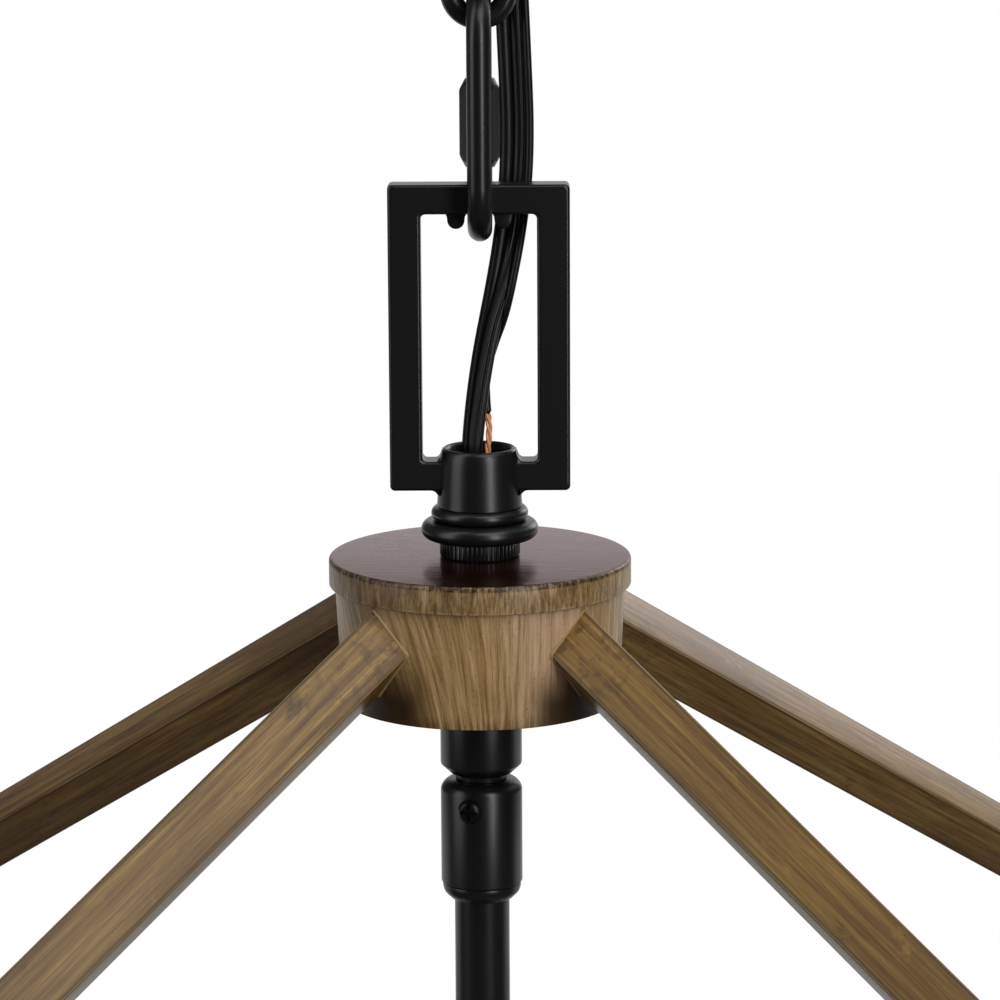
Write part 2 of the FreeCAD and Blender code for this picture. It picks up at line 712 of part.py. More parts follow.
# Crossbar: a strip welded across the drum, cut to its inner wall, that takes the nipple.
crossbar_box = primitive("Box", "crossbar_blank", Length="2 * drum_top_radius", Width="crossbar_width",
                         Height="crossbar_gauge")
place(crossbar_box, x="-drum_top_radius", y="-crossbar_width / 2",
      z=f"-{lid_top} - crossbar_depth - crossbar_gauge")
drum_room = primitive("Cone", "drum_room", Radius1="drum_foot_radius - drum_gauge",
                      Radius2="drum_top_radius - drum_gauge", Height="hub_height - lid_gauge - drum_floor")
place(drum_room, z=f"-{hub_foot} + drum_floor")
crossbar_strip = joined("MultiCommon", "crossbar_strip", [crossbar_box, drum_room])
crossbar_hole = primitive("Cylinder", "crossbar_hole", Radius=thread_hole, Height="2 * overrun")
place(crossbar_hole, z=f"-{lid_top} - crossbar_depth - overrun")
keep(cut("hub_crossbar", crossbar_strip, crossbar_hole))

# Lock nuts inside the drum: one under the crossbar, one on the drum's floor.
hub_nuts = []
for level, height in (("upper", f"-{lid_top} - crossbar_depth - crossbar_gauge - nut_height"),
                      ("lower", f"-{hub_foot} + drum_floor")):
    nut = hex_nut(f"hub_nut_{level}", "nut_flats", thread_hole, "nut_height")
    hub_nuts.append(place(nut, z=height))
keep(joined("Compound", "hub_lock_nuts", hub_nuts))

# Lower nipple: through the drum's floor into the coupling collar.
lower_nipple = turned("lower_nipple", tube_profile(
    "thread_bore", "thread_radius", "0", "lower_nipple_drop + lower_nipple_rise"))
keep(place(lower_nipple, z=f"-{hub_foot} - lower_nipple_drop"))

# Coupling collar: a turned collar with a chamfer, a neck and a hollow tenon below it.
collar_foot = "(collar_length + collar_chamfer)"
coupling_collar = turned("coupling_collar", [
    (thread_hole, "0"),
    (thread_hole, "-lower_nipple_drop - thread_gap"),
    ("thread_bore", "-lower_nipple_drop - thread_gap"),
    ("thread_bore", f"-{collar_foot} - neck_length - tenon_length"),
    ("thread_radius", f"-{collar_foot} - neck_length - tenon_length"),
    ("thread_radius", f"-{collar_foot} - neck_length"),
    ("neck_radius", f"-{collar_foot} - neck_length"),
    ("neck_radius", f"-{collar_foot}"),
    ("collar_foot_radius", f"-{collar_foot}"),
    ("coupling_radius", "-collar_length"),
    ("coupling_radius", "0"),
])
keep(place(coupling_collar, z=f"-{hub_foot}"))

# Coupling sleeve: a turned sleeve that swivels on the tenon and holds the stem in its foot.
sleeve_low = "(-shoulder_height - sleeve_length)"
sleeve_body_foot = f"({sleeve_low} + sleeve_foot_height + sleeve_bead_height + sleeve_groove)"
stem_hole = "stem_radius + thread_gap"
sleeve = turned("coupling_sleeve", [
    (thread_hole, "-thread_gap"),
    (thread_hole, f"{sleeve_low} + stem_socket"),
    (stem_hole, f"{sleeve_low} + stem_socket"),
    (stem_hole, sleeve_low),
    ("sleeve_foot_radius", sleeve_low),
    ("sleeve_bead_radius - sleeve_groove", f"{sleeve_low} + sleeve_foot_height", SHALLOW_SHARE),
    ("sleeve_bead_radius", f"{sleeve_low} + sleeve_foot_height + sleeve_bead_height"),
    ("coupling_radius - sleeve_groove", f"{sleeve_body_foot} - sleeve_groove"),
    ("coupling_radius", sleeve_body_foot),
    ("coupling_radius", "-shoulder_height", QUARTER_SHARE),
    ("neck_radius + thread_gap", "-thread_gap"),
])
screw_sketch = sketch_on(sleeve, "XZ_Plane", "screw_hole")
circle(screw_sketch, "0", "-screw_below_neck", "screw_shank_radius + thread_gap")
screw_hole = extrude(sleeve, screw_sketch, "coupling_radius + overrun", "screw_cut", kind="Pocket")
screw_hole.Reversed = True
keep(place(sleeve, z=f"-{neck_foot}", turn=Rotation(Vector(0, 0, 1), -SIZES["screw_turn"])))

# Cross-head screw: clamps the sleeve to the tenon; built pointing down, then laid on its side.
screw = new_body("coupling_screw")
screw_head = sketch_on(screw, "XZ_Plane", "head")
screw_seat = "coupling_radius - screw_head_height * 0.2"
shank_length = f"({screw_seat} - thread_radius - swing_gap)"
outline(screw_head, [
    ("0", f"-{shank_length}"),
    ("screw_shank_radius", f"-{shank_length}"),
    ("screw_shank_radius", "screw_head_height * 0.3"),
    ("screw_head_radius", "screw_head_height * 0.3", SHALLOW_SHARE),
    ("screw_head_radius * 0.6", "screw_head_height"),
    ("0", "screw_head_height"),
])
turn_sketch(screw, screw_head, "Revolution", "head_turned")
for direction, along, across in (("one", "screw_head_radius * 0.7", "screw_slot / 2"),
                                 ("two", "screw_slot / 2", "screw_head_radius * 0.7")):
    recess = sketch_on(screw, "XY_Plane", f"recess_{direction}", lift="screw_head_height")
    rectangle(recess, f"-{along}", f"-{across}", along, across)
    extrude(screw, recess, "screw_recess", f"recess_cut_{direction}", kind="Pocket")
screw_turn = Rotation(Vector(0, 0, 1), -SIZES["screw_turn"]) * Rotation(Vector(1, 0, 0), 90)
keep(place(screw, x=f"-({screw_seat}) * sin(screw_turn)", y=f"-({screw_seat}) * cos(screw_turn)",
           z=f"-{neck_foot} - screw_below_neck", turn=screw_turn))

# Stem tube, from the sleeve to the candle cluster.
stem = turned("stem_tube", tube_profile("stem_radius - stem_gauge", "stem_radius", "0", "stem_length"))
keep(place(stem, z=f"-{stem_foot}"))


def square_tube(name, length):
    """A square steel tube along X, hollow, with its ends closed by what it is welded to."""
    outer = primitive("Box", name + "_outer", Length=length, Width="tube_width", Height="tube_width")
    place(outer, y="-tube_width / 2", z="-tube_width / 2")
    inner = primitive("Box", name + "_inner", Length=f"{length} + 2 * overrun",
                      Width="tube_width - 2 * tube_gauge", Height="tube_width - 2 * tube_gauge")
    place(inner, x="-overrun", y="-tube_width / 2 + tube_gauge", z="-tube_width / 2 + tube_gauge")
    return cut(name, outer, inner)


# Arms: square tubes set corner up, welded to the drum and notched over the corner posts.
CORNERS = {"front_right": -45, "back_right": 45, "back_left": 135, "front_left": 225}
corner_reach = f"({frame_half} * sqrt(2))"
for corner, azimuth in CORNERS.items():
    blank = square_tube(f"arm_blank_{corner}", f"{corner_reach} / cos(arm_slope) + tube_width")
    heading = Rotation(Vector(0, 0, 1), azimuth)
    downhill = heading * Rotation(Vector(0, 1, 0), SIZES["arm_slope"]) * Rotation(Vector(1, 0, 0), 45)
    place(blank, z=f"-{lid_top} + arm_apex", turn=downhill)
    drum_tool = primitive("Cone", f"arm_drum_{corner}", Radius1="drum_foot_radius",
                          Radius2="drum_top_radius", Height="hub_height - lid_gauge")
    place(drum_tool, z=f"-{hub_foot}")
    above_tool = primitive("Cylinder", f"arm_above_{corner}", Radius="drum_top_radius", Height="4 * overrun")
    place(above_tool, z=f"-{lid_top} - lid_gauge")
    post_tool = primitive("Box", f"arm_post_{corner}", Length="tube_width", Width="tube_width",
                          Height="post_height")
    sign_x = 1 if "right" in corner else -1
    sign_y = 1 if "back" in corner else -1
    place(post_tool, x=f"{sign_x} * {frame_half} - tube_width / 2",
          y=f"{sign_y} * {frame_half} - tube_width / 2", z=f"-{post_top} - post_height")
    end_tool = primitive("Box", f"arm_end_{corner}", Length="2 * tube_width", Width="2 * tube_width",
                         Height="4 * tube_width")
    place(end_tool, x=f"{corner_reach} * cos({azimuth}) + tube_width * sin({azimuth})",
          y=f"{corner_reach} * sin({azimuth}) - tube_width * cos({azimuth})",
          z=f"-{post_top} - 3 * tube_width", turn=heading)
    tools = joined("MultiFuse", f"arm_tools_{corner}", [drum_tool, above_tool, post_tool, end_tool])
    keep(cut(f"arm_{corner}", blank, tools))

# Corner posts: closed square tubes that stand a little above the arms' ends.
for corner in CORNERS:
    sign_x = 1 if "right" in corner else -1
    sign_y = 1 if "back" in corner else -1
    outer = primitive("Box", f"post_outer_{corner}", Length="tube_width", Width="tube_width",
                      Height="post_height")
    inner = primitive("Box", f"post_inner_{corner}", Length="tube_width - 2 * tube_gauge",
                      Width="tube_width - 2 * tube_gauge", Height="post_height - 2 * tube_gauge")
    place(inner, x="tube_gauge", y="tube_gauge", z="tube_gauge")
    post = cut(f"post_{corner}", outer, inner)
    keep(place(post, x=f"{sign_x} * {frame_half} - tube_width / 2",
               y=f"{sign_y} * {frame_half} - tube_width / 2", z=f"-{post_top} - post_height"))

# Rails: two squares of four tubes, welded between the posts.
rail_length = "(frame_width - tube_width)"
for level, height in (("top", f"-{post_top} - rail_inset - tube_width / 2"),
                      ("bottom", f"-{post_top} - post_height + tube_width / 2")):
    rails = []
    for side, (turn, x_sign, y_sign) in enumerate(((0, -1, -1), (90, 1, -1), (180, 1, 1), (270, -1, 1))):
        rail = square_tube(f"{level}_rail_{side + 1}", rail_length)
        along_x = turn % 180 == 0
        x = f"{x_sign} * ({frame_half} - tube_width / 2)" if along_x else f"{x_sign} * {frame_half}"
        y = f"{y_sign} * {frame_half}" if along_x else f"{y_sign} * ({frame_half} - tube_width / 2)"
        rails.append(place(rail, x=x, y=y, z=height, turn=Rotation(Vector(0, 0, 1), turn)))
    keep(joined("Compound", f"{level}_rails", rails))

# Cluster body: a turned hub on the stem's foot, drilled for the four candle arms.
cluster = turned("cluster_turning", [
    ("0", "0"),
    ("cluster_neck_radius", "0"),
    ("cluster_radius", "cluster_height * 0.16", SHALLOW_SHARE),
    ("cluster_radius", "cluster_height * 0.58"),
    ("cluster_neck_radius", "cluster_height * 0.76"),
    ("cluster_neck_radius", "cluster_height"),
    (stem_hole, "cluster_height"),
    (stem_hole, "cluster_height - stem_socket"),
    ("0", "cluster_height - stem_socket"),
])
place(cluster, z=f"-{cluster_foot}")
drills = []
ARM_TURN = 45
for k in range(SIZES["candle_count"]):
    drill = primitive("Cylinder", f"cluster_drill_{k + 1}", Radius="candle_arm_radius + thread_gap",
                      Height="cluster_radius + overrun")
    angle = f"{ARM_TURN} + {k} * 360 / candle_count"
    heading = Rotation(Vector(0, 0, 1), ARM_TURN + k * 360 / SIZES["candle_count"])
    start = "(cluster_radius - candle_arm_socket)"
    drills.append(place(drill, x=f"{start} * cos({angle})", y=f"{start} * sin({angle})", z=f"-{candle_hub}",
                        turn=heading * Rotation(Vector(0, 1, 0), 90)))
keep(cut("cluster_body", cluster, joined("MultiFuse", "cluster_drills", drills)))

# Finial: a small turned drop under the cluster.
finial = turned("cluster_finial", [
    ("0", "0"),
    ("finial_radius * 0.2", "0", SHALLOW_SHARE),
    ("finial_radius * 0.45", "finial_height * 0.18"),
    ("finial_radius", "finial_height * 0.5", SHALLOW_SHARE),
    ("finial_radius * 0.55", "finial_height * 0.85"),
    ("cluster_neck_radius", "finial_height"),
    ("0", "finial_height"),
])
keep(place(finial, z=f"-{cluster_foot} - finial_height"))


def bent_rod(name, radius):
    """A round rod that runs out along X, bends through a quarter turn and goes up."""
    straight = "(candle_reach - candle_bend - cluster_radius + candle_arm_socket)"
    run = primitive("Cylinder", name + "_run", Radius=radius, Height=straight)
    place(run, x="cluster_radius - candle_arm_socket", turn=Rotation(Vector(0, 1, 0), 90))
    bend = primitive("Torus", name + "_bend", Radius1="candle_bend", Radius2=radius, Angle3="90")
    place(bend, x="candle_reach - candle_bend", z="candle_bend",
          turn=Rotation(Vector(0, 1, 0), 90) * Rotation(Vector(1, 0, 0), 90))
    riser = primitive("Cylinder", name + "_riser", Radius=radius, Height="candle_rise - candle_bend")
    place(riser, x="candle_reach", z="candle_bend")
    return joined("MultiFuse", name, [run, bend, riser])


# Candle arms: bent tubes that run out of the cluster and turn up to the drip pans.
for k in range(SIZES["candle_count"]):
    heading = Rotation(Vector(0, 0, 1), ARM_TURN + k * 360 / SIZES["candle_count"])
    wall = bent_rod(f"candle_arm_wall_{k + 1}", "candle_arm_radius")
    bore = bent_rod(f"candle_arm_bore_{k + 1}", "candle_arm_radius - candle_arm_gauge")
    keep(place(cut(f"candle_arm_{k + 1}", wall, bore), z=f"-{candle_hub}", turn=heading))

# Candles: drip pan, lampholder, sleeve and bulb, four times.
holders = []
holder_bore = "bulb_base_radius + thread_gap"
pan_seat = f"(-{pan_foot})"
holder_seat = f"({pan_seat} + pan_gauge)"
bulb_seat = f"({holder_seat} + holder_height - holder_well)"
for k in range(SIZES["candle_count"]):
    angle = f"({ARM_TURN} + {k} * 360 / candle_count)"
    spot = {"x": f"candle_reach * cos({angle})", "y": f"candle_reach * sin({angle})"}
    pan = turned(f"drip_pan_{k + 1}", [
        ("0", "0"),
        ("pan_radius * 0.62", "0", SHALLOW_SHARE),
        ("pan_radius", "pan_height - pan_gauge / 2"),
        ("pan_radius", "pan_height"),
        ("pan_radius - pan_gauge", "pan_height", -SHALLOW_SHARE),
        ("pan_radius * 0.6", "pan_gauge"),
        ("0", "pan_gauge"),
    ])
    keep(place(pan, z=pan_seat, **spot))
    holder = turned(f"lampholder_{k + 1}", [
        ("0", "0"),
        ("holder_radius", "0"),
        ("holder_radius", "holder_height"),
        (holder_bore, "holder_height"),
        (holder_bore, "holder_height - holder_well"),
        ("0", "holder_height - holder_well"),
    ])
    holders.append(place(holder, z=holder_seat, **spot))
    candle = turned(f"candle_sleeve_{k + 1}", [
        ("sleeve_radius - sleeve_gauge", "0"),
        ("sleeve_radius", "0"),
        ("sleeve_radius", "sleeve_height - sleeve_gauge", QUARTER_SHARE),
        ("sleeve_radius - sleeve_gauge", "sleeve_height"),
        ("holder_radius", "sleeve_height"),
        ("holder_radius", "sleeve_height - sleeve_gauge"),
        ("sleeve_radius - sleeve_gauge", "sleeve_height - sleeve_gauge"),
    ])
    keep(place(candle, z=holder_seat, **spot))
    sleeve_mouth = "(holder_well + sleeve_height - holder_height + swing_gap)"
    bulb = turned(f"bulb_{k + 1}", [
        ("0", "swing_gap"),
        ("bulb_base_radius * 0.5", "swing_gap"),
        ("bulb_base_radius", "holder_well - bulb_base_height"),
        ("bulb_base_radius", sleeve_mouth),
        ("bulb_neck_radius", f"{sleeve_mouth} + swing_gap", SHALLOW_SHARE),
        ("bulb_radius", "holder_well + bulb_belly_height", SHALLOW_SHARE / 2),
        ("bulb_tip_radius", "holder_well + bulb_glass_height - bulb_tip_radius", QUARTER_SHARE),
        ("0", "holder_well + bulb_glass_height"),
    ])
    keep(place(bulb, z=bulb_seat, **spot))
keep(joined("Compound", "lampholders", holders))


def rounded_path(points, radii):
    """Straight runs joined by tangent arcs: one radius for each inner point."""
    edges = []
    start = points[0]
    for before, corner, after, radius in zip(points, points[1:], points[2:], radii):
        into = (corner - before).normalize()
        out = (after - corner).normalize()
        half_turn = into.getAngle(out) / 2
        reach = radius * math.tan(half_turn)
        first = corner - into * reach
        last = corner + out * reach
        inward = (out - into).normalize()
        middle = corner + inward * (radius / math.cos(half_turn) - radius)
        edges.append(Part.LineSegment(start, first).toShape())
        edges.append(Part.Arc(first, middle, last).toShape())
        start = last
    edges.append(Part.LineSegment(start, points[-1]).toShape())
    return Part.Wire(edges)


def round_tube(path, radius):
    """A solid round bar along a path."""
    start = path.Edges[0]
    tangent = start.tangentAt(start.FirstParameter)
    ring = Part.Wire(Part.makeCircle(radius, start.valueAt(start.FirstParameter), tangent))
    return path.makePipeShell([ring], True, False)


# Cord route, from the barrel's cavity down behind the chain and the loop's upper bar, then
# forward into the socket. Places are chosen by hand, with heights above the lid's top.
CORD_ROUTE = [
    (5.6, 4.9, 228.0), (5.8, 5.1, 210.0), (6.6, 5.6, 186.0), (6.9, 6.0, 160.0), (7.6, 5.9, 134.0),
    (8.6, 6.3, 113.0), (9.2, 6.9, 97.0), (8.7, 7.1, 84.0), (7.0, 6.4, 72.5), (4.5, 4.9, 61.5),
    (2.0, 3.4, 51.0), (0.2, 2.3, 41.0), (-1.0, 1.4, 32.0), (-1.7, 0.8, 24.5), (-2.0, 0.5, 17.5),
]
GROUND_ROUTE = [
    (8.7, 3.3, 228.0), (9.0, 3.4, 210.0), (9.7, 3.8, 186.0), (9.8, 4.0, 160.0), (10.4, 3.8, 134.0),
    (11.3, 4.1, 113.0), (11.9, 4.7, 97.0), (11.5, 5.0, 84.0), (9.9, 4.4, 72.5), (7.5, 3.1, 61.5),
    (5.2, 1.9, 51.0), (3.5, 1.0, 41.0), (2.4, 0.3, 32.0), (1.8, 0.0, 24.5), (1.4, -0.1, 17.5),
]
ARC_RUN_SHARE = 0.45


def cord_radii(points):
    """Each bend as large as its two runs allow."""
    radii = []
    for before, corner, after in zip(points, points[1:], points[2:]):
        half_turn = (corner - before).getAngle(after - corner) / 2
        shorter = min((corner - before).Length, (after - corner).Length)
        radii.append(ARC_RUN_SHARE * shorter / math.tan(half_turn))
    return radii


for name, route, size in (("power_cord", CORD_ROUTE, "cord_radius"),
                          ("ground_wire", GROUND_ROUTE, "ground_wire_radius")):
    points = [Vector(x, y, height - number(lid_top)) for x, y, height in route]
    radii = cord_radii(points)
    path = rounded_path(points, radii)
    cord = keep(fixed(name, round_tube(path, number(size))))
    section_volume = math.pi * number(size) ** 2 * path.Length
    volume_ratio = round(cord.Shape.Volume / section_volume, 4)
    print(name, "length", round(path.Length, 1), "volume ratio", volume_ratio,
          "radii", [round(r) for r in radii])

doc.recompute()

# Nothing is written unless every object has computed and every piece is a sound solid.
failed = [thing.Label for thing in doc.Objects if "Invalid" in thing.State or "Error" in thing.State]
unsound = [p.Label for p in parts if p.Shape.isNull() or not p.Shape.isValid() or not p.Shape.Solids]
if failed or unsound:
    raise SystemExit(f"failed: {failed}  unsound: {unsound}")

os.makedirs("parts", exist_ok=True)
for part in parts:
    part.Shape.exportStep(f"parts/{part.Label}.step")
print(len(parts), "pieces, lid top", -number(lid_top), "post foot", -number(f"{post_top} + post_height"))
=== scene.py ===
import math

import bmesh
import bpy
import numpy as np
from mathutils import Matrix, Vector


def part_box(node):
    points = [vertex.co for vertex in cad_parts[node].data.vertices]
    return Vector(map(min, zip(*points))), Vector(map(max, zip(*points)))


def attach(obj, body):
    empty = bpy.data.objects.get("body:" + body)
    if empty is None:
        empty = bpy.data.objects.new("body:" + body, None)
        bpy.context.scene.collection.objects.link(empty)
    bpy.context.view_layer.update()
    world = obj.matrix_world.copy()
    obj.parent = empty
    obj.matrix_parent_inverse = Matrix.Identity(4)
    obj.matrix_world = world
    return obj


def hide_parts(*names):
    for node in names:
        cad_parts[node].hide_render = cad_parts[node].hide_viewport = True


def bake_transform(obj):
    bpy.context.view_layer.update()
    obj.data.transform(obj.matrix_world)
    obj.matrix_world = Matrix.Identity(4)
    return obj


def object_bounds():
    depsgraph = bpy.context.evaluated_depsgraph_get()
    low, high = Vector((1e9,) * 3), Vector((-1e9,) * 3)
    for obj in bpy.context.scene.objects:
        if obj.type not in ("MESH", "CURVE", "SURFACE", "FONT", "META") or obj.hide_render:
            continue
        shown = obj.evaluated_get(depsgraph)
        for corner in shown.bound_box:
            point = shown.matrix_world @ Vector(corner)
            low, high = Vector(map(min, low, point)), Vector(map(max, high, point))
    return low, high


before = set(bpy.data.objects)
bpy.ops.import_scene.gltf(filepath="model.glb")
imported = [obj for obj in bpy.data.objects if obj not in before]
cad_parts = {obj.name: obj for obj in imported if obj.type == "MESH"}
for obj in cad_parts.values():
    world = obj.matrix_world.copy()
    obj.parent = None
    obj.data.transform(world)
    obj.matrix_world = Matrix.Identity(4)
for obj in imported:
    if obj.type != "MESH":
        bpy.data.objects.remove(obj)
cad_box = [list(corner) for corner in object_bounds()]
scene = bpy.context.scene
scene.view_settings.view_transform = "Standard"

# Camera
# A long lens a little above the hub and almost square on to the fixture, framed on the
# hanger loop, the hub and the upper ends of the four arms.
MM = 0.001
SENSOR_MM = 36.0
FOCAL_PX = 4000.0
IMAGE_PX = 1000.0
CAMERA_PLACE_MM = (10.4, -892.2, 195.0)
CAMERA_PITCH = math.radians(11.55)
CAMERA_YAW = math.radians(-0.37)
CAMERA_ROLL = math.radians(-0.31)
LID_TOP_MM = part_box("hub_lid")[1][2] / MM

forward = np.array([
    math.sin(CAMERA_YAW) * math.cos(CAMERA_PITCH),
    math.cos(CAMERA_YAW) * math.cos(CAMERA_PITCH),
    -math.sin(CAMERA_PITCH),
])
level_right = np.array([math.cos(CAMERA_YAW), -math.sin(CAMERA_YAW), 0.0])
level_up = np.cross(level_right, forward)
right = math.cos(CAMERA_ROLL) * level_right + math.sin(CAMERA_ROLL) * level_up
up = -math.sin(CAMERA_ROLL) * level_right + math.cos(CAMERA_ROLL) * level_up
camera_data = bpy.data.cameras.new("studio_camera")
camera_data.sensor_width = SENSOR_MM
camera_data.lens = SENSOR_MM * FOCAL_PX / IMAGE_PX
camera_data.clip_start = 0.05
camera_data.clip_end = 20.0
camera = bpy.data.objects.new("studio_camera", camera_data)
place = np.array(CAMERA_PLACE_MM) + np.array([0.0, 0.0, LID_TOP_MM])
pose = Matrix.Identity(4)
for row in range(3):
    pose[row] = (right[row], up[row], -forward[row], place[row] * MM)
camera.matrix_world = pose
scene.collection.objects.link(camera)
scene.camera = camera

# Studio
# A white room. The camera sees plain white behind the fixture. Glossy coats mirror a room that
# is bright behind the fixture and dark towards the camera and both sides, with two soft upright
# strips. Matt surfaces are lit by a room that is brighter above.
LIT_ABOVE, LIT_BELOW = 0.44, 0.0
MIRRORED_BACK, MIRRORED_FRONT = 0.84, 0.02
# Each strip has its direction and half its width in degrees, and its brightness.
STRIPS = ((-67.0, 15.0, 2.2), (33.0, 12.0, 0.9))
STRIP_BLUR_DEG = 4
STRIP_FOOT = (-0.26, -0.15)
SIDE_AXIS, SIDE_MIDDLE, SIDE_LEAST = (1.0, 0.0, -0.6), 0.1, 0.15
SMOOTH = {"interpolation_type": "SMOOTHSTEP"}


def add_node(tree, kind, settings=None, inputs=None):
    """Adds one node. An input takes a plain value, or another node's output as a link."""
    node = tree.nodes.new(kind)
    for name, value in (settings or {}).items():
        setattr(node, name, value)
    for name, value in (inputs or {}).items():
        if isinstance(value, bpy.types.NodeSocket):
            tree.links.new(value, node.inputs[name])
        else:
            node.inputs[name].default_value = value
    return node


def linear(hex_colour):
    """An sRGB colour such as "8a6f4f" as linear red, green and blue with full alpha."""
    srgb = np.array([int(hex_colour[k:k + 2], 16) / 255 for k in (0, 2, 4)])
    flat = np.where(srgb <= 0.04045, srgb / 12.92, ((srgb + 0.055) / 1.055) ** 2.4)
    return (*flat.tolist(), 1.0)


world = bpy.data.worlds.new("white_room")
world.use_nodes = True
scene.world = world
room = world.node_tree
room.nodes.clear()
direction = add_node(room, "ShaderNodeTexCoord").outputs["Generated"]
way = add_node(room, "ShaderNodeSeparateXYZ", inputs={"Vector": direction}).outputs
mirrored = add_node(room, "ShaderNodeMapRange", SMOOTH, {
    "Value": way["Y"], "From Min": -0.3, "From Max": 0.6,
    "To Min": MIRRORED_FRONT, "To Max": MIRRORED_BACK}).outputs["Result"]
to_camera = add_node(room, "ShaderNodeMath", {"operation": "MULTIPLY"}, {
    0: way["Y"], 1: -1.0}).outputs["Value"]
azimuth = add_node(room, "ShaderNodeMath", {"operation": "ARCTAN2"}, {
    0: way["X"], 1: to_camera}).outputs["Value"]
above_foot = add_node(room, "ShaderNodeMapRange", SMOOTH, {
    "Value": way["Z"], "From Min": STRIP_FOOT[0], "From Max": STRIP_FOOT[1]}).outputs["Result"]
to_side = add_node(room, "ShaderNodeVectorMath", {"operation": "DOT_PRODUCT"}, {
    0: direction, 1: SIDE_AXIS}).outputs["Value"]
to_side = add_node(room, "ShaderNodeMath", {"operation": "SUBTRACT"}, {
    0: to_side, 1: SIDE_MIDDLE}).outputs["Value"]
to_side = add_node(room, "ShaderNodeMath", {"operation": "ABSOLUTE"}, {0: to_side}).outputs["Value"]
side_dark = add_node(room, "ShaderNodeMapRange", SMOOTH, {
    "Value": to_side, "From Min": 0.35, "From Max": 0.65,
    "To Min": 1.0, "To Max": SIDE_LEAST}).outputs["Result"]
mirrored = add_node(room, "ShaderNodeMath", {"operation": "MULTIPLY"}, {
    0: mirrored, 1: side_dark}).outputs["Value"]
for place_deg, half_deg, brightness in STRIPS:
    off = add_node(room, "ShaderNodeMath", {"operation": "SUBTRACT"}, {
        0: azimuth, 1: math.radians(place_deg)}).outputs["Value"]
    off = add_node(room, "ShaderNodeMath", {"operation": "ABSOLUTE"}, {0: off}).outputs["Value"]
    strip = add_node(room, "ShaderNodeMapRange", SMOOTH, {
        "Value": off, "From Min": math.radians(half_deg + STRIP_BLUR_DEG),
        "From Max": math.radians(half_deg - STRIP_BLUR_DEG),
        "To Min": 0.0, "To Max": brightness}).outputs["Result"]
    strip = add_node(room, "ShaderNodeMath", {"operation": "MULTIPLY"}, {
        0: strip, 1: above_foot}).outputs["Value"]
    mirrored = add_node(room, "ShaderNodeMath", {"operation": "ADD"}, {
        0: mirrored, 1: strip}).outputs["Value"]
ambient = add_node(room, "ShaderNodeMapRange", SMOOTH, {
    "Value": way["Z"], "From Min": -0.5, "From Max": 0.7,
    "To Min": LIT_BELOW, "To Max": LIT_ABOVE}).outputs["Result"]
rays = add_node(room, "ShaderNodeLightPath").outputs
seen = add_node(room, "ShaderNodeMath", {"operation": "MAXIMUM"}, {
    0: rays["Is Camera Ray"], 1: rays["Is Transmission Ray"]}).outputs["Value"]
lit = add_node(room, "ShaderNodeMix", {"data_type": "FLOAT"}, {
    0: rays["Is Glossy Ray"], 2: ambient, 3: mirrored}).outputs[0]
strength = add_node(room, "ShaderNodeMix", {"data_type": "FLOAT"}, {
    0: seen, 2: lit, 3: 1.0}).outputs[0]
shine = add_node(room, "ShaderNodeBackground", inputs={
    "Color": (1.0, 1.0, 1.0, 1.0), "Strength": strength}).outputs["Background"]
add_node(room, "ShaderNodeOutputWorld", inputs={"Surface": shine})


def soft_lamp(name, place_mm, target_mm, size_mm, watts):
    """A rectangular softbox that faces a point."""
    lamp = bpy.data.lights.new(name, "AREA")
    lamp.shape = "RECTANGLE"
    lamp.size, lamp.size_y = (size * MM for size in size_mm)
    lamp.energy = watts
    box = bpy.data.objects.new(name, lamp)
    start = np.array(place_mm, float)
    away = start - np.array(target_mm, float)
    away /= np.linalg.norm(away)
    side = np.cross([0.0, 0.0, 1.0], away)
    side /= np.linalg.norm(side)
    top = np.cross(away, side)
    pose = Matrix.Identity(4)
    for row in range(3):
        pose[row] = (side[row], top[row], away[row], start[row] * MM)
    box.matrix_world = pose
    scene.collection.objects.link(box)


# Four softboxes face the hub: a weak tall one at the left, the strongest, as tall, at the right,
# a small one behind, and a wide one above and in front.
HUB_MM = (0.0, 0.0, LID_TOP_MM)
soft_lamp("left_lamp", (-1150, -680, LID_TOP_MM + 350), HUB_MM, (170, 1300), 0.5)
soft_lamp("right_lamp", (707, -1132, LID_TOP_MM + 350), HUB_MM, (300, 1300), 8.6)
soft_lamp("back_lamp", (830, 1190, LID_TOP_MM + 390), HUB_MM, (500, 500), 1.8)
soft_lamp("top_lamp", (450, -650, LID_TOP_MM + 1300), HUB_MM, (1300, 700), 7.0)

# The floor is matt grey. The camera and glass see it with a glow added, which makes it white
# and keeps its shadow. Coats mirror that glow only well behind the fixture.
FLOOR_DROP_MM = 620.0
FLOOR_HALF_MM = 6000.0
FLOOR_GLOW = 0.93
FAR_FLOOR_M, FAR_FLOOR_SHARE = (0.4, 1.8), 0.9
floor_z = cad_box[0][2] - FLOOR_DROP_MM * MM
edge = FLOOR_HALF_MM * MM
floor_corners = ((-edge, -edge), (edge, -edge), (edge, edge), (-edge, edge))
floor_mesh = bpy.data.meshes.new("studio_floor")
floor_mesh.from_pydata([(x, y, floor_z) for x, y in floor_corners], [], [(0, 1, 2, 3)])
floor = bpy.data.objects.new("studio_floor", floor_mesh)
scene.collection.objects.link(floor)
floor_paint = bpy.data.materials.new("white_floor")
floor_paint.use_nodes = True
tree = floor_paint.node_tree
tree.nodes.clear()
path = add_node(tree, "ShaderNodeLightPath").outputs
spot = add_node(tree, "ShaderNodeTexCoord").outputs["Object"]
depth = add_node(tree, "ShaderNodeSeparateXYZ", inputs={"Vector": spot}).outputs["Y"]
